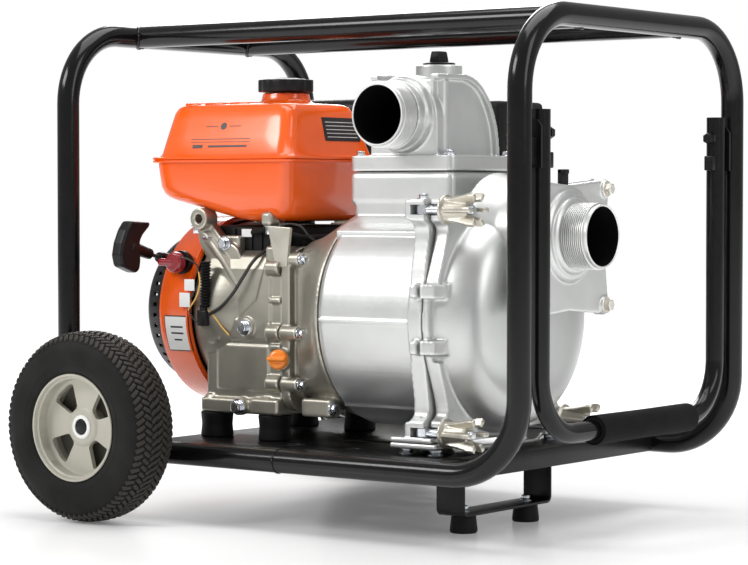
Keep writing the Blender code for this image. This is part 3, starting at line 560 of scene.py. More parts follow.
def build_wheel(side, s):
    """One wheel; s is the side of the unit it stands on, -1 near and 1 far."""
    centre, axis, half = (WHEEL_X, s * abs(WHEEL_Y), WHEEL_R), (0, s, 0), TYRE_HALF
    body = f"wheel_{side}"
    flank = curve_through([(74.2, half - 5.2), (80, half - 1.6), (90, half - 0.1), (104, half - 0.2),
                           (114, half - 3.4), (121, half - 9.5), (125, half - 18), (126.8, half - 28),
                           (127.2, 0)], 5)
    profile = flank + [(r, -h) for r, h in reversed(flank[:-1])] + [(70, -half + 9), (70, half - 9)]
    rings = [lathe([(r - 1.6, half - 1.0), (r, half - 0.05), (r + 1.6, half - 1.0)], centre, axis, 96)
             for r in (85, 101)]
    piece(f"tyre_{side}_carcass", join(lathe(profile, centre, axis, 120), *rings), "tyre", body,
          [f"tyre_{side}"])
    piece(f"tyre_{side}_tread", tread(centre), "tread", body)
    rim = lathe([(66, half - 9), (72.2, half - 5.8), (73.3, half - 4.6), (72.6, half - 3.2),
                 (70.2, half - 3.2),
                 (69.0, half - 5.4), (68.4, half - 9), (68.0, half - 19), (65, half - 24.6),
                 (61.5, half - 26.2),
                 (27, half - 26.2), (24.4, half - 24.4), (21, half - 23.4), (10.3, half - 23.4),
                 (10.3, -half + 14), (23, -half + 14), (25, 6), (60, 6), (63.6, 2), (66, -half + 9)],
                centre, axis, 120)
    wedges = []
    for k in range(4):
        spin = Matrix.Rotation(math.radians(-38 + 90 * k), 4, "Y")
        outline = rounded([(26.5, -8), (57, -20.5), (61, -12), (61, 12), (57, 20.5), (26.5, 8)], 5)
        wedges.append(copied(prism(outline, -half - 20, half + 20, "XZ"), Matrix.Translation(centre) @ spin))
    rim = soften(cut(rim, *wedges), 0.9, 2, 40)
    piece(f"rim_{side}_shell", rim, "rim", body, [f"rim_{side}"])
    # Inner disc in the darker rim colour: painted shade seen through the wheel's windows.
    piece(f"rim_{side}_inner", lathe([(20, -8), (66.4, -8), (66.4, -12), (20, -12)], centre, axis, 64),
          "rim_painted_shade",
          body)
    ring = lathe([(11.2, half - 24.2), (15.4, half - 24.2), (16.6, half - 22.8), (15.2, half - 21.6),
                  (11.2, half - 21.6)], centre, axis, 64)
    piece(f"hub_{side}_ring", ring, "label", body)
    cap = lathe([(0, half - 21.2), (7, half - 21.5), (10.8, half - 23), (11.1, half - 26), (0, half - 26)],
                centre, axis, 48)
    piece(f"hub_{side}_cap", cap, "plastic", body)
    keep(f"axle_{side}", "black_satin")


# ---------------------------------------------------------------- pull handle

def build_handle():
    corners = [(HANDLE_X, -HANDLE_Y, HANDLE_TOP_Z), (HANDLE_X, -HANDLE_Y, HANDLE_BAR_Z),
               (HANDLE_X, HANDLE_Y, HANDLE_BAR_Z), (HANDLE_X, HANDLE_Y, HANDLE_TOP_Z)]
    piece("handle_bent_tube", sweep(bent_path(corners, 75, 16), HANDLE_R, 32), "black_gloss", "handle",
          ["handle_tube"])
    low, high = span("handle_grip")
    mid, half, r = (low.y + high.y) / 2, (high.y - low.y) / 2, (high.x - low.x) / 2
    flank = [(r - 3.5, -half), (r - 1, -half + 2.5), (r - 0.2, -half + 9), (r - 0.6, 0),
             (r - 0.2, half - 9), (r - 1, half - 2.5), (r - 3.5, half)]
    bore = HANDLE_R + 0.2
    profile = [(bore, -half)] + curve_through(flank, 5) + [(bore, half)]
    grip = lathe(profile, ((low.x + high.x) / 2, mid, (low.z + high.z) / 2), "Y", 48)
    piece("handle_foam", grip, "foam", "handle", ["handle_grip"])
    plugs = [lathe([(0, 3), (8, 2.6), (11.4, 1), (12.2, -0.4), (0, -0.4)],
                   (HANDLE_X, s * HANDLE_Y, HANDLE_TOP_Z - 2.9), "Z", 40) for s in (-1, 1)]
    piece("handle_plugs", join(*plugs), "plastic", "handle")
    for side in ("near", "far"):
        keep(f"handle_bracket_{side}", "black_satin")
    bolts = [hex_bolt((HANDLE_X, s * (HANDLE_Y - 19), PIVOT_Z), (0, -s, 0), 8, 4, washer=False)
             for s in (-1, 1)]
    piece("handle_pivot_bolts", join(*bolts), "black_satin")
    stops = [box(HANDLE_X - 7, HANDLE_X + 7, *sorted((s * (HANDLE_Y - 20), s * (HANDLE_Y - 9))), PIVOT_Z - 44,
                 PIVOT_Z - 24, 1.5) for s in (-1, 1)]
    piece("handle_stops", join(*stops), "black_satin", "handle")


# ---------------------------------------------------------------- pump

def corner_outline(sy, sz, reach, ear):
    """Clamp corner of the flange, with hollow flanks that run out on the round flange."""
    y, z = AXIS_Y + sy * CLAMP_Y, AXIS_Z + sz * CLAMP_Z
    flank_low = curve_through([(y + sy * reach, z - sz * ear), (y + sy * (reach - 12), z - sz * 30),
                               (AXIS_Y + sy * 152, AXIS_Z + sz * 52)], 5)
    flank_top = curve_through([(AXIS_Y + sy * 62, AXIS_Z + sz * 150), (y - sy * 34, z + sz * (ear - 9)),
                               (y - sy * 16, z + sz * ear)], 5)
    return [(y + sy * reach, z + sz * ear)] + flank_low + [(AXIS_Y + sy * 60, AXIS_Z + sz * 60)] + flank_top


# Side and height sign of each clamp, and its place in Y and Z.
CORNERS = [(sy, sz, AXIS_Y + sy * CLAMP_Y, AXIS_Z + sz * CLAMP_Z)
           for sy, sz in ((-1, 1), (-1, -1), (1, -1), (1, 1))]


def casing_solid():
    """Pump casing: drum, square riser, shelf, ribs, clamp corners and lugs, melted together."""
    outer = [(20, REAR_X), (139, REAR_X), (148, REAR_X + 3), (CASE_R, REAR_X + 10), (CASE_R, JOINT_X - 25),
             (FLANGE_R, JOINT_X - 22), (FLANGE_R, JOINT_X - 0.6), (143, JOINT_X - 0.6), (143, REAR_X + 10),
             (20, REAR_X + 10)]
    parts = [lathe(outer, (0, AXIS_Y, AXIS_Z), "X", 120)]
    parts.append(box(RISER_X - RISER_HALF, RISER_X + RISER_HALF, RISER_Y0, RISER_Y1, 429, FLANGE_Z - GAP, 9))
    parts.append(box(REAR_X + 1.2, RISER_X + RISER_HALF - 1, RISER_Y0 + 1, RISER_Y1 - 1, 345, 440, 9))
    shelf = [(-168, 396), (-160, 400.5), (-128, 414), (24, 414), (55, 392), (40, 330), (-150, 330)]
    parts.append(soften(prism(shelf, REAR_X + 0.6, JOINT_X - 10), 2.0))
    for angle in (-1, -52, -128, 181, 118):
        spin = Matrix.Rotation(math.radians(-angle), 4, "X")
        at = Vector((REAR_X + 78, AXIS_Y, AXIS_Z)) + spin @ Vector((0, -CASE_R, 0))
        parts.append(sweep([at - Vector((72, 0, 0)), at + Vector((80, 0, 0))], 2.3, 12))
    slots = []
    for sy, sz, y, z in CORNERS:
        parts.append(prism(corner_outline(sy, sz, 13, 13.5), JOINT_X - 24.5, JOINT_X - 1))
        parts.append(box(PIN_X - 22, JOINT_X - 0.6, *sorted((y - sy * 16, y + sy * 13.2)), z - 13.5,
                         z + 13.5, 2.5))
        slots.append(box(PIN_X - 12, JOINT_X + 4, *sorted((y - sy * 10.5, y + sy * 18)), z - 6.5, z + 6.5))
        if sz < 0:
            parts.append(box(PIN_X - 44, JOINT_X + 12, *sorted((y - sy * 30, y + sy * 15)), z - 13.3, z - 7,
                             1.5))
    for dz in LUG_DZ:
        parts.append(box(JOINT_X - 13, JOINT_X - 1.6, AXIS_Y - 171.5, AXIS_Y - 140, AXIS_Z + dz - 9,
                         AXIS_Z + dz + 9, 3))
    return cut(cast(join(*parts), 1.9, 3), *slots)


def cover_solid():
    """Front cover: dome, suction neck, clamp corners and lugs."""
    joint = JOINT_X + 0.6
    dome = curve_through([(0, 276), (62, 275.6), (100, 273), (124, 266), (139, 252), (147, 233),
                          (151, joint + 12)], 5)
    profile = dome + [(FLANGE_R, joint + 10.5), (FLANGE_R, joint), (142, joint), (142, 230), (130, 255),
                      (98, 268),
                      (0, 268)]
    parts = [lathe(profile, (0, AXIS_Y, AXIS_Z), "X", 120, closed=False)]
    centre = SUCTION_Z - 4
    parts.append(lathe([(88, joint + 8), (80, 228), (72.5, 250), (70, 270), (70, 300), (58, 300),
                        (58, joint + 8)],
                       (0, AXIS_Y, centre), "X", 96))
    parts.append(prism(ear_outline(96, 86, centre - 6, 13), 293, PLATE_X - GAP - 0.4))
    slots = []
    for sy, sz, y, z in CORNERS:
        parts.append(prism(corner_outline(sy, sz, 2, 13.5), joint + 0.5, joint + PAD_T - 1))
        slots.append(box(joint - 3, joint + 30, *sorted((y - sy * 8, y + sy * 18)), z - 7.5, z + 7.5))
    for dz in LUG_DZ:
        wedge = [(joint + 1, AXIS_Y - 140), (joint + 1, AXIS_Y - 166), (joint + 4, AXIS_Y - 169.5),
                 (joint + 22, AXIS_Y - 164), (joint + 30, AXIS_Y - 148), (joint + 30, AXIS_Y - 138)]
        parts.append(prism(wedge, AXIS_Z + dz - 9, AXIS_Z + dz + 9, "XY"))
    return cut(cast(join(*parts), 1.9, 6), *slots)


def ear_outline(half_y, half_z, mid_z, ear):
    """Round plate with four ears and hollow sides between them."""
    points = []
    for sy, sz in ((1, 1), (-1, 1), (-1, -1), (1, -1)):
        y, z = AXIS_Y + sy * (half_y - ear), mid_z + sz * (half_z - ear)
        base = math.atan2(sz, sy)
        for k in range(-4, 5):
            a = base + k * math.radians(20)
            points.append((y + ear * math.cos(a), z + ear * math.sin(a)))
        hollow = {(1, 1): (0, 0.93), (-1, 1): (-0.93, 0), (-1, -1): (0, -0.93), (1, -1): (0.93, 0)}[(sy, sz)]
        points.append((AXIS_Y + hollow[0] * (half_y - 6), mid_z + hollow[1] * (half_z - 2)))
    return points


def thread(at, axis, length):
    """External pipe thread with a plain lip at its mouth; it starts at the mouth and runs along axis."""
    root, crest, pitch, h = PORT_R - 2.3, PORT_R - 0.1, 3.0, 5.0
    profile = [(PORT_BORE + 0.3, 0.6), (PORT_BORE + 1.2, 0), (root - 0.6, 0), (root, 0.8), (root, 5.0)]
    while h + pitch < length:
        profile += [(root, h + 0.1), (crest, h + 0.8), (crest, h + 2.1), (root, h + 2.8)]
        h += pitch
    profile += [(root, length), (PORT_BORE + 0.3, length)]
    return lathe(profile, at, axis, 96)


def port_painted_shade(at, axis, depth):
    """Black sheet inside a port, set back from its mouth: painted shade standing in for the dark inside of
    the port.
    """
    r = PORT_BORE
    return lathe([(r + 0.3, 1.2), (r + 0.3, depth), (0, depth), (0, depth - 2), (r - 0.3, depth - 2),
                  (r - 0.3, 1.2)],
                 at, axis, 80)


def build_elbow():
    """Discharge elbow with its threaded port and the priming plug."""
    y0, face, half = RISER_Y1 - 2, RISER_Y0 + 9, 56.0
    base = prism(rounded([(RISER_X - RISER_HALF, RISER_Y0), (RISER_X + RISER_HALF, RISER_Y0),
                          (RISER_X + RISER_HALF, RISER_Y1), (RISER_X - RISER_HALF, RISER_Y1)], 12), FLANGE_Z,
                 FLANGE_Z + 20, "XY")

    def quarter(inset):
        turns = (math.radians(5 * k) for k in range(19))
        return [(-60 + (84.5 - inset) * math.cos(t), 500 + (106.5 - inset) * math.sin(t)) for t in turns]

    top = PORT_Z + 55
    core = prism([(y0 - 6, 490)] + quarter(8) + [(face, top - 8), (face, 490)], RISER_X - half + 8,
                 RISER_X + half - 8)
    bands = [prism([(y0, 490)] + quarter(0) + [(face, top), (face, top - 7)] + quarter(7)[::-1]
                   + [(y0 - 7, 490)], RISER_X + sx * (half - 12), RISER_X + sx * half) for sx in (-1, 1)]
    front = box(RISER_X - 55, RISER_X + 55, face - 1, face + 33, FLANGE_Z + 10, PORT_Z, 2)
    posts = [cylinder(10, top - 500, (RISER_X + sx * (half - 9), face + 21, (490 + top) / 2 - 4))
             for sx in (-1, 1)]
    hood = cylinder(54.5, 34, (RISER_X, face + 16, PORT_Z), "Y", n=96)
    collar = lathe([(0, 15), (46.5, 15), (49, 12), (50.5, 0), (0, 0)], (RISER_X, face + 1, PORT_Z),
                   (0, -1, 0), 96)
    neck = cylinder(46, 40, (RISER_X, face - 8, PORT_Z), "Y", n=96)
    boss = cylinder(31.5, 40, (RISER_X, PLUG_Y, 600.5), n=80)
    solid = cast(join(base, core, *bands, front, *posts, hood, collar, neck, boss), 1.5, 2)
    bore = cylinder(PORT_BORE + 0.6, 120, (RISER_X, face + 20, PORT_Z), "Y", n=96)
    piece("discharge_elbow_casting", cut(solid, bore), "silver", stands_for=["discharge_elbow"])
    start = (RISER_X, PORT_MOUTH_Y + 0.2, PORT_Z)
    piece("discharge_thread", thread(start, "Y", 46), "silver", angle=20)
    # Black sheet inside the discharge port: painted shade.
    piece("discharge_painted_shade", port_painted_shade(start, "Y", 100), "bore")
    low, high = span("priming_cap")
    cap = lathe([(0, 3.0), (20.5, 3.0), (22, 2.2), (22, 0.4), (0, 0.4)], (RISER_X, PLUG_Y, low.z), "Z", 64)
    outline = rounded([(-8, -12), (8, -12), (8, 12), (-8, 12)], 3)
    levels = ((1.06, low.z + 2), (1.0, low.z + 8), (0.86, high.z - 1.6), (0.76, high.z - 0.2))
    knob = skin([[(RISER_X + a * w, PLUG_Y + b * w, z) for a, b in outline] for w, z in levels])
    piece("priming_plug_head", join(cap, knob), "plastic", "priming_plug", ["priming_cap"])
    bolts = [hex_bolt((RISER_X + sx * (RISER_HALF - 11), y, FLANGE_Z + 19.6), "Z", 6.0, 5)
             for sx in (-1, 1) for y in (RISER_Y0 + 12, RISER_Y1 - 12)]
    bolts.append(hex_bolt((RISER_X + half + 9, face + 12, FLANGE_Z + 19.6), "Z", 6.5, 6))
    piece("elbow_bolts", join(*bolts), "zinc")


def build_suction():
    """Suction flange with its threaded port, bolts and flap valve."""
    mid = (SUCTION_LOW.z + SUCTION_HIGH.z) / 2
    plate = prism(ear_outline(99.6, 90.6, mid, 13), PLATE_X, PLATE_X + 14.5)
    boss = lathe([(0, 21), (56, 21), (61, 17), (62, 8), (0, 8)], (PLATE_X, AXIS_Y, SUCTION_Z), "X", 96)
    neck = lathe([(0, 27), (46, 27), (50, 24), (52, 18), (0, 18)], (PLATE_X, AXIS_Y, SUCTION_Z), "X", 96)
    spots = [(AXIS_Y + sy * 86.5, mid + sz * 77.5) for sy in (-1, 1) for sz in (-1, 1)]
    pads = [cylinder(11.5, 8, (PLATE_X + 14, y, z), "X", n=40) for y, z in spots]
    solid = cut(cast(join(plate, boss, neck, *pads), 1.5, 2),
                cylinder(PORT_BORE + 0.6, 120, (PLATE_X + 20, AXIS_Y, SUCTION_Z), "X", n=96))
    piece("suction_flange_casting", solid, "silver", stands_for=["suction_flange"])
    start = (SUCTION_MOUTH_X - 0.2, AXIS_Y, SUCTION_Z)
    piece("suction_thread", thread(start, (-1, 0, 0), 43), "silver", angle=20)
    # Black sheet inside the suction port: painted shade.
    piece("suction_painted_shade", port_painted_shade(start, (-1, 0, 0), 64), "bore")
    bolts = [hex_bolt((PLATE_X + 17.6, y, z), "X", 8, 7) for y, z in spots]
    piece("suction_bolts", join(*bolts), "nut_cast")
    low, high = span("flap_valve")
    disc = lathe([(0, 2.3), (38, 2.3), (41, 1.2), (45.6, 1.2), (46, 0), (45.6, -1.6), (0, -1.6)],
                 ((low.x + high.x) / 2, AXIS_Y, SUCTION_Z), "X", 64)
    tab = box(low.x + 0.4, high.x - 0.4, AXIS_Y - 18, AXIS_Y + 18, SUCTION_Z + 36, SUCTION_Z + 46.4, 1)
    piece("flap_valve_disc", join(disc, tab), "rubber", "suction_flap", ["flap_valve"])
    stem = box(PLATE_X + 1, PLATE_X + 7, AXIS_Y - 9, AXIS_Y + 9, SUCTION_HIGH.z - 8, SUCTION_HIGH.z + 12, 1)
    hook = box(PLATE_X + 1, PLATE_X + 12, AXIS_Y - 9, AXIS_Y + 3, SUCTION_HIGH.z + 6, SUCTION_HIGH.z + 12, 1)
    piece("flap_gasket_tab", join(stem, hook), "rubber")


def build_clamps():
    """Hand nuts, swing bolts and their pins."""
    wing = [(3, 11), (5, 16.5), (14, 17.5), (30, 20), (44, 23.6), (53.4, 23.6), (53.8, 19), (52, 13.5),
            (40, 12),
            (34, 8.5)]
    hub = lathe([(6.4, 0.4), (19, 0.4), (20, 2), (20, 4), (16, 6.5), (14.6, 14), (12.2, 34), (10.8, 39.6),
                 (6.4, 39.6)],
                (0, 0, 0), "X", 48)
    wings = []
    for k in range(6):
        wings.append(copied(prism(wing, -3.1, 3.1, "XZ"), Matrix.Rotation(math.radians(60 * k + 30), 4, "X")))
    nut = cast(join(hub, *wings), 1.15, 2)
    pins = []
    for i, (_, _, y, z) in enumerate(CORNERS, 1):
        start = span(f"hand_nut_{i}")[0].x
        piece(f"hand_nut_{i}_casting", copied(nut, Matrix.Translation((start, y, z))), "nut_cast", f"nut_{i}",
              [f"hand_nut_{i}"])
        shank, h = [(0, 5), (5.8, 5), (5.8, 34)], 34.0
        while h < 78:
            shank += [(5.1, h + 0.3), (5.9, h + 0.9), (5.1, h + 1.5)]
            h += 1.75
        bolt = lathe(shank + [(4.6, 79.6), (0, 79.8)], (PIN_X, y, z), "X", 32)
        eye = lathe([(4.6, -5.8), (8.9, -5.8), (9.4, -5), (9.4, 5), (8.9, 5.8), (4.6, 5.8)], (PIN_X, y, z),
                    "Z", 40)
        piece(f"swing_bolt_{i}_steel", join(bolt, eye), "zinc", f"bolt_{i}", [f"swing_bolt_{i}"], angle=24)
        pins.append(cylinder(4.5, 34, (PIN_X, y, z)))
        pins.append(hex_bolt((PIN_X, y, z + 13.4), "Z", 6.4, 5))
        pins.append(hex_bolt((PIN_X, y, z - 13.4), (0, 0, -1), 6.0, 5, washer=False))
    bpy.data.objects.remove(nut)
    piece("clamp_pins", join(*pins), "zinc")


def build_pump():
    piece("pump_casing_casting", casing_solid(), "silver", stands_for=["pump_casing"])
    piece("front_cover_casting", cover_solid(), "silver", stands_for=["front_cover"])
    rings, count = [], 96
    for k in range(13):
        t = k / 12
        ring = []
        for i in range(count):
            a = 2 * math.pi * i / count
            square = 112 / (abs(math.cos(a)) ** 5 + abs(math.sin(a)) ** 5) ** 0.2
            r = square + (146.5 - square) * (t * t * (3 - 2 * t))
            ring.append((-45.5 + 60 * t, AXIS_Y + r * math.cos(a), AXIS_Z - 8 * (1 - t) + r * math.sin(a)))
        rings.append(ring)
    bell = join(skin(rings), box(-40, 12, -172, -148, 143, 168, 4), box(-40, 12, 30, 54, 143, 168, 4))
    foot_bolts = [hex_bolt((12, y, 156), "X", 7, 5) for y in (-168, 44)]
    piece("adapter_bolts", join(*foot_bolts), "zinc")
    piece("pump_bracket_casting", cast(bell, 1.8, 2), "cast", stands_for=["pump_bracket"])
    low, high = span("pump_foot")
    feet, deck = [], low.z + 9
    for y in (low.y + 24, high.y - 24):
        feet.append(box(low.x, high.x, y - 24, y + 24, deck, high.z, 1.5))
    for y, end in ((low.y + 44, low.y + 62), (high.y - 44, high.y - 62)):
        feet.append(prism([(y, deck), (y, high.z), (end, low.z + 5), (end, low.z)], low.x + 8, high.x - 8))
    feet.append(box(low.x + 8, high.x - 8, low.y + 56, high.y - 56, low.z, low.z + 5, 1))
    piece("pump_foot_casting", cast(join(*feet), 1.5, 2), "silver", stands_for=["pump_foot"])
    bolts = []
    for y in (low.y + 20, high.y - 20):
        bolts.append(hex_bolt((low.x + 14, y, high.z - 0.5), "Z", 7, 7))
        bolts.append(cylinder(3.6, 9, (low.x + 14, y, high.z + 11), n=24))
        for x in (low.x + 14, high.x - 14):
            bolts.append(hex_bolt((x, y, low.z + 0.4), "Z", 8, 6))
    piece("pump_foot_bolts", join(*bolts), "zinc")


# ---------------------------------------------------------------- fuel tank

def tank_ring(half_x, half_y, r, z, sag=0.0, shift=0.0, per=10, straight=8):
    """Rounded rectangle; sag lifts its starter end, shift moves it along the shaft."""
    corners = []
    for k, (sa, sb) in enumerate(((1, 1), (-1, 1), (-1, -1), (1, -1))):
        corners.append([])
        for i in range(per):
            t = math.pi / 2 * (k + i / (per - 1))
            corners[k].append((sa * (half_x - r) + r * math.cos(t), sb * (half_y - r) + r * math.sin(t)))
    ring = []
    for arc, after in zip(corners, corners[1:] + corners[:1]):
        (a0, b0), (a1, b1) = arc[-1], after[0]
        steps = [i / straight for i in range(1, straight)]
        ring += arc + [(a0 + (a1 - a0) * t, b0 + (b1 - b0) * t) for t in steps]
    lifted = []
    for a, b in ring:
        slope = max(0.0, min(1.0, (28 - a) / 125))
        lifted.append((TANK_X + shift + a, TANK_Y + b, z + sag * slope))
    return lifted


TANK_LEVELS = [(84, 66, 16, 407.6, 27, 3), (97, 80, 18, 408.6, 27, 3), (106, 90, 20, 412.5, 25, 3),
               (112, 96.5, 21, 419, 22, 2), (116, 100.5, 21, 430, 17, 1), (118.5, 102.4, 20, 446, 10),
               (120, 103.2, 19, 468, 3), (121.3, 104, 18, 486), (121.8, 104, 18, 489),
               (127.3, 107.8, 15, 490),
               (127.5, 108, 15, 492.8), (125.4, 106, 15, 493.6), (127.5, 108, 15, 494.4),
               (127.5, 108, 15, 497),
               (121, 102, 18, 498), (119, 99.5, 20, 502, 0, -0.5), (114.5, 91, 20, 526, 0, -2.5),
               (110.5, 81.5, 19, 550, 0, -4), (108.5, 77.4, 18, 560, 0, -4.5), (105.5, 73, 18, 567, 0, -4.5),
               (100, 66.5, 16, 570.6, 0, -4.5), (93, 60, 14, 572, 0, -4.5)]


def build_tank():
    """Fuel tank with its pressed lip, filler neck and lobed cap."""
    body = skin([tank_ring(*level) for level in TANK_LEVELS])
    low, high = span("fuel_cap")
    cap_x, cap_y, cap_r = (low.x + high.x) / 2, (low.y + high.y) / 2, (high.x - low.x) / 2
    neck = lathe([(0, 588), (30, 588), (32.5, 586.6), (33.6, 583), (34.6, 578), (38, 574.4), (46, 572),
                  (58, 570.6), (0, 568)], (cap_x, cap_y, 0), "Z", 64)
    pads = []
    for x, wide in ((TANK_X - 88, 26), (TANK_X - 47, 36), (TANK_X - 1, 36)):
        pads.append(box(x - wide / 2, x + wide / 2, TANK_Y - 60, TANK_Y + 60, 566, 574.6, 2.4))
    piece("fuel_tank_shell", join(body, neck, *pads), "orange", stands_for=["fuel_tank"], angle=42)
    lobes = []
    for k in range(108):
        a = 2 * math.pi * k / 108
        r = cap_r - 0.4 - 2.6 * (0.5 + 0.5 * math.cos(9 * a)) ** 2
        lobes.append((cap_x + r * math.cos(a), cap_y + r * math.sin(a)))
    cap = soften(prism(lobes, low.z, high.z - 2.5, "XY"), 1.6, 3, 50)
    crown = lathe([(0, 0), (18, 0), (20, -1.2), (27, -1.2), (32, -2.6), (32, -4), (0, -4)],
                  (cap_x, cap_y, high.z), "Z", 64)
    piece("fuel_cap_moulding", join(cap, crown), "plastic", "filler_cap", ["fuel_cap"])
    build_tank_marks()


def build_tank_marks():
    """Plain stripes and a blank plate on the flanks of the tank's upper half."""
    lean = math.atan2(100 - 81.4, 550 - 502)

    def stripe(x0, x1, z, height, proud=0.5):
        y = TANK_Y - 100 + (z - 502) * math.tan(lean)
        return block((x1 - x0, proud, height), ((x0 + x1) / 2, y, z), Matrix.Rotation(-lean, 4, "X"), 0.15, 1)

    left, right = TANK_X - 60.5, TANK_X + 46.5
    marks = [stripe(left, right, 522, 1.3), stripe(left, right, 518, 0.8),
             stripe(left + 5, left + 23, 512, 5),
             stripe(left + 33, right - 4, 512, 3), stripe(left + 21, left + 43, 540, 1.4),
             stripe(left + 64, right - 22, 540, 1.4)]
    dot_y = TANK_Y - 100 + (540 - 502) * math.tan(lean)
    marks.append(cylinder(5.4, 0.6, (left + 53.5, dot_y, 540), (0, -math.cos(lean), math.sin(lean)), n=40))
    piece("tank_stripes", join(*marks), "ink")
    slope = math.atan2(118.5 - 106.5, 550 - 502)

    def plate(z, y, wide, tall, proud):
        x = TANK_X + 118.5 - (z - 502) * math.tan(slope)
        return block((proud, wide, tall), (x, y, z), Matrix.Rotation(-slope, 4, "Y"), 0.15, 1)

    piece("tank_blank_plate", plate(536, TANK_Y + 30, 80, 34, 0.6), "ink")
    piece("tank_plate_bars", join(*[plate(525 + 5.2 * k, TANK_Y + 30, 68, 0.9, 1.0) for k in range(5)]),
          "label")


# ---------------------------------------------------------------- engine

def build_crankcase():
    front, top = -172.0, 368.0
    block_shape = [(front, 161), (front, top - 26), (front + 8, top - 8), (front + 26, top), (0, top),
                   (48, 352),
                   (52, 340), (52, 161)]
    parts = [prism(block_shape, CASE_X0 + 8, CASE_X1 - 1)]
    dome = curve_through([(124, 0), (126, 10), (125, 34), (121, 52), (113, 70), (100, 84)], 4)
    parts.append(lathe([(20, 0)] + dome + [(20, 84)], (-222, AXIS_Y, AXIS_Z), "X", 96))
    parts.append(box(CASE_X0, CASE_X1 - 0.5, -178, 58, BASE_Z, 162, 3))
    parts.append(box(CASE_X0 + 92, CASE_X1 - 0.5, -182, -150, BASE_Z + 1, 164, 3))
    parts += [cylinder(13, 14, (-132, front - 1, 262), "Y"), cylinder(11, 14, (-190, front - 1, 250), "Y"),
              cylinder(12, 10, (-140, -179, 152), "Y")]
    parts.append(prism([(-188, 272), (-150, 272), (-116, 300), (-100, 350), (-92, 350), (-92, 244),
                        (-188, 244)],
                       front - 2.6, front + 4, "XZ"))
    parts.append(prism([(-186, 236), (-96, 236), (-96, 176), (-186, 176)], front - 2.0, front + 4, "XZ"))
    for x in (-200, -98):
        parts.append(cylinder(13, 6, (x, -163, 163)))
    for z in (186, 236, 300, 340):
        parts.append(box(CASE_X1 - 20, CASE_X1 - 1, front - 4, front + 6, z - 3, z + 3, 1))
    for z in (345, 256, 186):
        parts.append(sweep([(CASE_X1 - 24, front - 0.5, z), (CASE_X1 - 1, front - 0.5, z)], 10.5, 32))
    bore = cylinder(22, 120, (-150, AXIS_Y, AXIS_Z), "X")
    piece("crankcase_casting", cut(cast(join(*parts), 1.7, 3), bore), "cast", stands_for=["crankcase"])
    left = CASE_X1 + 1.0
    outline = [(-176, 166), (-176, 350), (-166, 366), (-146, 374), (20, 374), (42, 360), (56, 340), (56, 166),
               (42, 148), (-160, 148)]
    parts = [prism(rounded(outline, 10, 4), left, -56)]
    parts.append(prism([(a * 0.9 - 6, 281 + (b - 281) * 0.9) for a, b in rounded(outline, 14, 4)], -60, -46))
    parts.append(lathe([(15, 0), (104, 0), (96, 8), (90, 12), (15, 12)], (-56, AXIS_Y, AXIS_Z), "X", 96))
    for y, z in ((-166, 356), (-172, 256), (-170, 186), (42, 176), (46, 260), (22, 362)):
        parts.append(sweep([(left, y, z), (-42, y, z)], 10.5, 32))
    neck_axis = Vector(JOINTS["dipstick_turn"]["axis"])
    neck_at = pivot("dipstick_turn")
    parts.append(sweep([neck_at - neck_axis * 30, neck_at - neck_axis * 1.2], 14.5, 32))
    bore = cylinder(20, 80, (-60, AXIS_Y, AXIS_Z), "X")
    piece("crankcase_cover_casting", cut(cast(join(*parts), 1.7, 3), bore), "cast",
          stands_for=["crankcase_cover"])
    bolts = [hex_bolt((-41.5, y, z), "X", 6.6, 6) for y, z in
             ((-166, 356), (-172, 256), (-170, 186), (42, 176), (46, 260), (22, 362))]
    bolts += [hex_bolt((-132, front - 8, 262), (0, -1, 0), 8.5, 6),
              hex_bolt((-140, -184, 152), (0, -1, 0), 8.5, 7)]
    for x in (-200, -98):
        bolts += [hex_bolt((x, -163, 165.6), "Z", 8, 6.5), cylinder(3.6, 10, (x, -163, 177), n=24)]
    piece("engine_bolts", join(*bolts), "zinc")


def build_tank_supports():
    """Cast arms that carry the tank on the crankcase."""
    eye = cut(cylinder(15, 26, (-216, -167, 411), "Y"), cylinder(6.5, 60, (-216, -167, 411), "Y"))
    web = [(-232, 404), (-204, 404), (-186, 384), (-158, 372), (-140, 340), (-134, 318), (-150, 312),
           (-172, 330),
           (-206, 346), (-226, 376)]
    web = prism(rounded(web, 6), -166, -150, "XZ")
    rib = sweep(curve_through([(-224, -164, 398), (-204, -165, 380), (-178, -166, 352), (-152, -166, 320)],
                              6), 7.5,
                24)
    post = box(-106, -88, -178, -154, 402, 421, 5)
    parts = [eye, web, rib, post, box(-196, -158, -160, -128, 360, 388, 3)]
    parts.append(box(-106, -70, -168, -130, 338, 374, 4))
    parts.append(box(-104, -90, -160, -140, 370, 408, 3))
    piece("tank_arms", cast(join(*parts), 1.6, 3), "cast")
    strut = prism(rounded([(-94, 402), (-54, 400), (-60, 346), (-80, 346)], 3), -177, -171, "XZ")
    piece("tank_strut", soften(strut, 1), "cast")
    bolts = [hex_bolt((-229, -165, 402), (0, 0, -1), 7, 10), hex_bolt((-98, -165, 402), (0, 0, -1), 7, 10),
             hex_bolt((-179, -166, 377), (0, -1, 0), 7.5, 6)]
    piece("tank_arm_bolts", join(*bolts), "zinc")


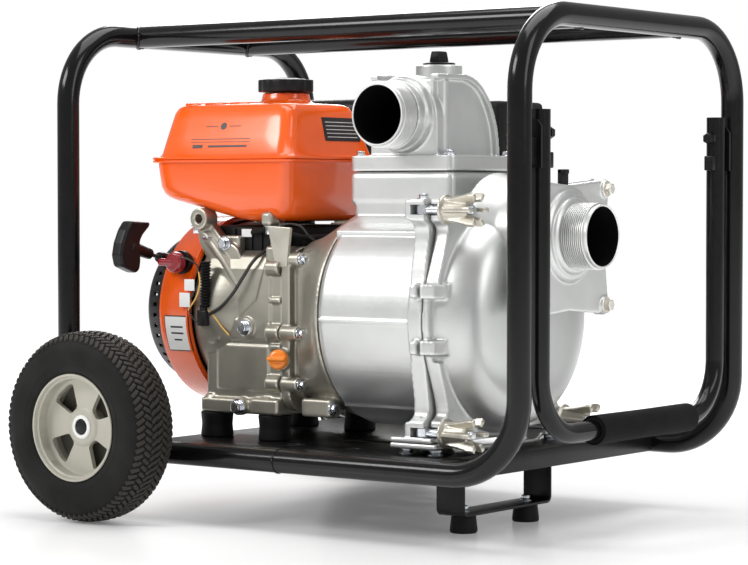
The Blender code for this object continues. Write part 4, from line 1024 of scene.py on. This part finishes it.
def build_blower():
    low, high = span("blower_housing")
    x0, x1 = low.x, high.x
    outer = [(94, 0), (120, 0), (127, 1.6), (131.6, 6), (133, 12), (133, x1 - x0), (128, x1 - x0), (128, 8),
             (122, 4), (94, 4)]
    drum = lathe(outer, (x0, AXIS_Y, AXIS_Z), "X", 120)
    duct = soften(prism(rounded([(-60, 300), (-60, 411.6), (60, 424.6), (116, 390), (95, 300), (40, 300)],
                                10, 4),
                        x0, x1), 5, 3)
    tunnel = cylinder(127.5, 200, ((x0 + x1) / 2, AXIS_Y, AXIS_Z), "X", n=96)
    hollow = prism([(-54, 290), (-54, 405), (58, 418), (108, 388), (88, 290)], x0 + 4, x1 + 20)
    duct = cut(duct, hollow, tunnel)
    lip = lathe([(131, 0), (134.9, 0), (134.9, 3), (131, 3)], (x1 - 5, AXIS_Y, AXIS_Z), "X", 120)
    piece("blower_housing_shell", join(drum, lip), "orange", stands_for=["blower_housing"], angle=30)
    piece("blower_duct", duct, "guard", angle=30)
    build_shroud()
    backing = lathe([(60, 0), (127, 0), (127, 3), (60, 3)], (x1 - 6, AXIS_Y, AXIS_Z), "X", 96)
    piece("blower_back_plate", backing, "guard")
    build_recoil(x0)
    piece("blower_plate", blower_label(22, 25.6, -1, 133.2, 0.8), "ink")
    piece("blower_plate_face", blower_label(20.4, 24, -1, 133.9, 0.8), "label")
    bars = [blower_label(w, 1.1, dz, 134.5, 0.5) for w, dz in ((11, 9), (11, 0), (7, -10))]
    piece("blower_plate_bars", join(*bars), "ink")


def build_shroud():
    """Black pressed cover over the top of the crankcase, with a hose and a small blank tag."""
    cover = box(-212, -84, -148, 50, 362, 402, 6)
    ribs = [box(x - 3, x + 3, -150.5, -140, 368, 398, 1.2) for x in (-176, -146, -128)]
    pan = box(-84, -58, -140, 40, 366, 390, 4)
    piece("top_shroud", join(cover, *ribs, pan), "guard")
    hose = curve_through([(-140, -152, 392), (-112, -158, 397), (-84, -160, 396), (-64, -150, 388),
                          (-58, -120, 384)],
                         6)
    piece("shroud_hose", sweep(hose, 4.0, 20), "rubber")
    lead = curve_through([(-92, -160, 392), (-70, -168, 404), (-50, -160, 402), (-42, -150, 388),
                          (-46, -130, 380)], 6)
    piece("shroud_lead", sweep(lead, 1.6, 12), "ink")
    piece("shroud_tag", box(-160, -142, -152.4, -151, 386, 397, 0.4), "label")


def blower_label(half_x, half_z, dz, r, thick):
    """Thin plate wrapped on the near side of the drum, below the shaft line."""
    rings, centre_x = [], span("blower_housing")[0].x + 39
    a_mid, a_half = math.atan2(-30 + dz, 130), half_z / 133
    for k in range(13):
        a = a_mid - a_half + 2 * a_half * k / 12
        ring = []
        for radius, x in ((r, -half_x), (r, half_x), (r + thick, half_x), (r + thick, -half_x)):
            ring.append((centre_x + x, AXIS_Y - radius * math.cos(a), AXIS_Z + radius * math.sin(a)))
        rings.append(ring)
    return skin(rings)


def build_recoil(x0):
    profile = [(0, 50), (58, 50), (64, 48.6), (96, 45), (101, 42), (105, 36), (112, 4), (112, 0), (108, 0),
               (101, 34), (97, 38.6), (60, 46), (0, 46)]
    cup = lathe(profile, (x0 - GAP, AXIS_Y, AXIS_Z), (-1, 0, 0), 120, closed=False)
    vents = ring_of(44, lambda spin: join(*[block((8, 5.4, 30), Vector((x0 - dx, AXIS_Y, AXIS_Z))
                                                  + spin @ Vector((0, 0, 110)), spin) for dx in (11, 24)]), 4)
    face = ring_of(28, lambda spin: block((20, 7, 24), Vector((x0 - 48, AXIS_Y, AXIS_Z))
                                          + spin @ Vector((0, 0, 80)), spin))
    cup = cut(cup, vents, face)
    badge = lathe([(0, 2), (40, 2), (44, 0.4), (44, -1), (0, -1)], (x0 - 49.6, AXIS_Y, AXIS_Z), (-1, 0, 0),
                  64)
    rib = lathe([(50, 1.6), (53, 1.6), (53, -2), (50, -2)], (x0 - 49.2, AXIS_Y, AXIS_Z), (-1, 0, 0), 64)
    pull = Vector(JOINTS["starter_slide"]["axis"])
    guide = sweep([ROPE_EYE + pull * t for t in (-16, 10, 16)], [10.0, 9.0, 7.0], 28)
    piece("recoil_cover_shell", join(cup, badge, rib, guide), "plastic", stands_for=["recoil_cover"])
    start = ROPE_EYE + pull * 17.5
    rope = [start + pull * (-10 + 0.5 * k) for k in range(73)]
    cord = sweep(rope, [2.6 + 0.25 * math.sin(1.9 * k) for k in range(73)], 14)
    cord = piece("starter_rope", cord, "ink", body=None)
    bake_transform(cord)
    stem = sweep([start + pull * t for t in (15.5, 18, 30, 46, 58, 64)], [6.0, 8.0, 8.4, 9.4, 11.0, 12.0], 28)
    outline = [(-224, 408), (-183, 406), (-186, 399), (-199, 388), (-204, 381), (-206, 372), (-204, 352),
               (-206, 340), (-212, 334), (-220, 336), (-243, 344), (-247, 360), (-243, 378), (-234, 396)]
    bar = soften(prism(outline, start.x - 10, start.x + 10, "YZ"), 5, 4)
    piece("starter_handle", cast(join(stem, bar), 1.3, 3), "plastic", "starter_pull", ["starter_grip"])


def build_harness():
    """Corrugated sleeve, connector, thin wires and the short kill-switch lead on the near side."""
    top, low = Vector((-196, -187, 352)), Vector((-197, -187, 288))
    path = [top + (low - top) * k / 128 for k in range(129)]
    sleeve = sweep(path, [6.6 + 1.2 * math.sin(2 * math.pi * k / 8) for k in range(129)], 24)
    piece("wire_sleeve", sleeve, "rubber")
    piece("wire_connector",
          join(box(-209, -192, -192, -179, 262, 284, 2), box(-206, -195, -190, -181, 282, 292, 2)),
          "plastic")
    runs = {
        "wire_black": ([(-104, -150, 376), (-118, -174, 356), (-133, -181, 332), (-150, -184, 308),
                        (-170, -186, 289), (-197, -186, 276)], 2.4, "ink"),
        "wire_loop": ([(-262, -192, 346), (-246, -200, 356), (-222, -200, 356), (-206, -194, 346),
                       (-205, -192, 326), (-212, -196, 306), (-220, -196, 290), (-214, -193, 272),
                       (-200, -190, 262)], 1.2, "ink"),
        "wire_thin": ([(-206, -192, 344), (-201, -194, 322), (-207, -195, 302), (-220, -197, 284)], 1.1,
                      "yellow_wire"),
        "wire_ground": ([(-194, -186, 284), (-184, -184, 276), (-172, -182, 262), (-160, -180, 250)], 1.2,
                        "yellow_wire"),
    }
    for name, (points, r, mat) in runs.items():
        piece(name, sweep(curve_through(points, 8), r, 12), mat)
    tags = join(box(-235, -216, -198.6, -197.2, 288, 308, 0.4), box(-225, -207, -199.4, -198, 311, 327, 0.4))
    piece("harness_tags", tags, "label")


def build_controls():
    at = pivot("engine_switch_turn")
    knob = lathe([(0, 9), (10, 8.4), (14, 5), (15, 0), (14.4, -6), (12, -8), (0, -8)], at, "Y", 48)
    pointer = block((30, 12, 11), at + Vector((-14, -3, 0)), Matrix(), 4.5)
    piece("engine_switch_knob", cast(join(knob, pointer), 0.9, 3), "red", "switch_knob", ["engine_switch"])
    collar = lathe([(0, 0), (16.5, 0), (16.5, 7), (13, 14), (0, 14)], at + Vector((0, 9, 0)), "Y", 48)
    piece("engine_switch_collar", collar, "plastic")
    axis, at = Vector(JOINTS["dipstick_turn"]["axis"]), pivot("dipstick_turn")
    cap = lathe([(0, 9.6), (9, 9.6), (12.6, 8), (14, 5), (14, -0.6), (0, -0.6)], at, axis, 48)
    across = axis.cross(Vector((0, 0, 1))).normalized()
    turn = Matrix((across, axis, across.cross(axis))).transposed().to_4x4()
    tab = block((27, 12, 5.6), at + axis * 10.5, turn, 2.4)
    piece("dipstick_head", cast(join(cap, tab), 0.9, 2), "amber", "oil_dipstick", ["dipstick"])
    for name, mat in (("throttle_lever", "zinc"), ("choke_lever", "plastic"),
                      ("fuel_valve_lever", "plastic")):
        keep(name, mat, 0.5)
    at, top = pivot("throttle_turn"), span("throttle_lever")[1].z
    piece("throttle_pivot_bolt", hex_bolt((at.x, at.y, top), "Z", 5.5, 4), "zinc", "throttle")


def build_far_side():
    tilt = Matrix.Rotation(math.radians(25), 4, "X")
    root = Vector((-146, 52 + GAP, 300))
    core = block((102, 118, 82), root + tilt @ Vector((0, 62, 10)), tilt, 6)
    fins = [block((125.6, 3.2, 115.6), root + tilt @ Vector((0, 30 + 8.6 * i, 10)), tilt, 1.2, 2)
            for i in range(10)]
    head = block((117.6, 15.6, 103.6), root + tilt @ Vector((0, 118, 10)), tilt, 5)
    flush = box(-270, -20, -60, 52 + GAP, 180, 440)
    solid = cut(join(core, *fins, head), flush)
    piece("cylinder_fins", solid, "cast", stands_for=["cylinder"], angle=30)
    lid = block((91.6, 25.6, 77.6), root + tilt @ Vector((0, 139 + 2 * GAP, 10)), tilt, 9, 4)
    step = block((99, 6, 85), root + tilt @ Vector((0, 130, 10)), tilt, 2)
    piece("valve_cover_lid", join(lid, step), "cast", stands_for=["valve_cover"])
    bolts = []
    for dx in (-43, 43):
        for dz in (-36, 36):
            at = root + tilt @ Vector((dx, 132.6, 10 + dz))
            bolts.append(hex_bolt(at, tilt @ Vector((0, 1, 0)), 5.5, 5))
    piece("valve_cover_bolts", join(*bolts), "zinc")
    build_intake()
    build_muffler()


def build_intake():
    low, high = span("air_cleaner")
    shell = box(low.x, high.x, low.y, high.y, low.z + 22, high.z, 16, 5)
    base = box(low.x + 3, high.x - 3, low.y + 3, high.y - 3, low.z, low.z + 24, 8, 4)
    seam = box(low.x + 0.3, high.x - 0.3, low.y + 0.3, high.y - 0.3, low.z + 19, low.z + 24, 2)
    ribs = [box(low.x + 20 + 14 * k, low.x + 25 + 14 * k, low.y + 20, high.y - 20, high.z - 2.2,
                high.z - 0.1, 0.8)
            for k in range(7)]
    louvres = [box(low.x + 24, high.x - 24, high.y - 1.4, high.y - 0.1, low.z + 40 + 12 * k,
                   low.z + 45 + 12 * k, 0.6)
               for k in range(6)]
    piece("air_cleaner_shell", join(shell, base, seam, *ribs, *louvres), "plastic",
          stands_for=["air_cleaner"])
    low, high = span("carburettor")
    mid_x = (low.x + high.x) / 2
    bowl = lathe([(0, -17), (16, -17), (19.4, -13), (19.4, 13), (21, 14), (21, 17), (0, 17)],
                 (mid_x, CARB_Y, CARB_Z - 28))
    throat = lathe([(15, -21.8), (21, -21.8), (21, -14), (18, -10), (18, 10), (21, 14), (21, 21.8),
                    (15, 21.8)],
                   (mid_x, CARB_Y, CARB_Z), "Y", 48)
    flange = soften(prism(rounded([(low.x, 438), (high.x, 438), (high.x, 482), (low.x, 482)], 12), 94, 100,
                          "XZ"), 1)
    core = block((30, 30, 36), (mid_x, CARB_Y, CARB_Z - 8), bevel=3)
    drain = hex_bolt((mid_x, CARB_Y, CARB_Z - 44.6), (0, 0, -1), 5, 4)
    piece("carburettor_body", join(bowl, throat, flange, core, drain), "cast", stands_for=["carburettor"])
    elbow = sweep([(mid_x, CARB_Y + 21, CARB_Z), (mid_x, CARB_Y + 32, CARB_Z + 8),
                   (mid_x, CARB_Y + 38, CARB_Z + 20)], 17, 32)
    piece("intake_elbow", elbow, "rubber")


def build_muffler():
    low, high = span("muffler")
    drum = box(low.x + 58, high.x, low.y, high.y, low.z, high.z, 24, 5)
    pipe = sweep(curve_through([(-134, EXHAUST_Y, EXHAUST_Z - 13), (-122, EXHAUST_Y, EXHAUST_Z - 1),
                                (-104, EXHAUST_Y, EXHAUST_Z),
                               (-74, EXHAUST_Y, EXHAUST_Z)], 6), 15.6, 32)
    collar = lathe([(15, -3), (23, -3), (23, 3), (15, 3)], (-98, EXHAUST_Y, EXHAUST_Z), "X", 48)
    piece("muffler_drum", join(drum, pipe, collar), "steel", stands_for=["muffler"])
    low, high = span("muffler_guard")
    shell = box(low.x, high.x, low.y, high.y, low.z, high.z, 7, 3)
    inside = box(low.x + 3, high.x - 3, low.y + 3, high.y - 3, low.z - 30, high.z - 3, 4, 2)
    slots = []
    for k in range(9):
        x = low.x + 20 + 16.5 * k
        slots.append(box(x - 4, x + 4, low.y - 10, high.y + 10, low.z + 22, high.z - 20, 3.9, 3))
    for k in range(4):
        z = low.z + 28 + 18 * k
        slots.append(box(high.x - 10, high.x + 10, low.y + 18, high.y - 18, z - 4, z + 4, 3.9, 3))
    for k in range(5):
        y = low.y + 22 + 18 * k
        slots.append(box(low.x + 24, high.x - 24, y - 3.6, y + 3.6, high.z - 10, high.z + 10, 3.5, 3))
    door = cylinder(19, 30, (low.x, EXHAUST_Y, EXHAUST_Z), "X")
    for tool in [inside, door] + slots:
        shell = cut(shell, tool)
    piece("muffler_guard_shell", shell, "guard", stands_for=["muffler_guard"], angle=30)


def build_inner():
    """Rotating pieces inside the housings; they show only through the slots."""
    for node, mat in (("crankshaft", "steel"), ("flywheel", "cast"), ("impeller", "steel"),
                      ("starter_pulley", "plastic")):
        keep(node, mat, 0.4)


# ---------------------------------------------------------------- floor, light and camera

def studio():
    """Pale floor that brightens away from the pump, soft lamps, and the camera."""
    floor = bpy.data.meshes.new("floor")
    corners = [(sx * FLOOR_HALF, sy * FLOOR_HALF, 0) for sx, sy in ((-1, -1), (1, -1), (1, 1), (-1, 1))]
    floor.from_pydata(corners, [], [(0, 1, 2, 3)])
    ground = bpy.data.objects.new("floor", floor)
    bpy.context.scene.collection.objects.link(ground)
    mat = bpy.data.materials.new("floor_paper")
    mat.use_nodes = True
    bsdf = mat.node_tree.nodes["Principled BSDF"]
    bsdf.inputs["Base Color"].default_value = (0.93, 0.93, 0.93, 1)
    bsdf.inputs["Roughness"].default_value = 0.22
    nodes, links = mat.node_tree.nodes, mat.node_tree.links
    where, away, fade = (nodes.new(f"ShaderNode{kind}") for kind in ("TexCoord", "VectorMath", "MapRange"))
    away.operation = "LENGTH"
    for socket, value in zip(("From Min", "From Max", "To Min", "To Max"), FLOOR_FADE):
        fade.inputs[socket].default_value = value
    links.new(where.outputs["Object"], away.inputs[0])
    links.new(away.outputs["Value"], fade.inputs["Value"])
    links.new(fade.outputs["Result"], bsdf.inputs["Emission Strength"])
    bsdf.inputs["Emission Color"].default_value = (1, 1, 1, 1)
    floor.materials.append(mat)
    world = bpy.data.worlds.new("studio")
    world.use_nodes = True
    nodes, links = world.node_tree.nodes, world.node_tree.links
    seen, level = nodes.new("ShaderNodeLightPath"), nodes.new("ShaderNodeMapRange")
    level.inputs["To Min"].default_value, level.inputs["To Max"].default_value = WORLD_FILL, WORLD_SEEN
    nodes["Background"].inputs["Color"].default_value = (1.0, 1.0, 1.0, 1)
    links.new(seen.outputs["Is Camera Ray"], level.inputs["Value"])
    links.new(level.outputs["Result"], nodes["Background"].inputs["Strength"])
    bpy.context.scene.world = world
    for name, at, wide, tall, power in LAMPS:
        data = bpy.data.lights.new(name, "AREA")
        data.shape, data.size, data.size_y, data.energy = "RECTANGLE", wide, tall, power
        lamp = bpy.data.objects.new(name, data)
        lamp.location = at
        lamp.rotation_euler = (LAMP_TARGET - Vector(at)).to_track_quat("-Z", "Y").to_euler()
        bpy.context.scene.collection.objects.link(lamp)
    data = bpy.data.cameras.new("camera")
    data.lens, data.sensor_width = CAMERA_LENS, 36.0
    camera = bpy.data.objects.new("camera", data)
    camera.location = CAMERA_AT
    camera.rotation_euler = (math.radians(CAMERA_TILT), 0, math.radians(CAMERA_TURN))
    bpy.context.scene.collection.objects.link(camera)
    bpy.context.scene.camera = camera
    bpy.context.scene.view_settings.view_transform = "Standard"


build_frame()
build_tray()
build_wheel("near", -1)
build_wheel("far", 1)
build_handle()
build_pump()
build_elbow()
build_suction()
build_clamps()
build_tank()
build_crankcase()
build_tank_supports()
build_blower()
build_harness()
build_controls()
build_far_side()
build_inner()
studio()
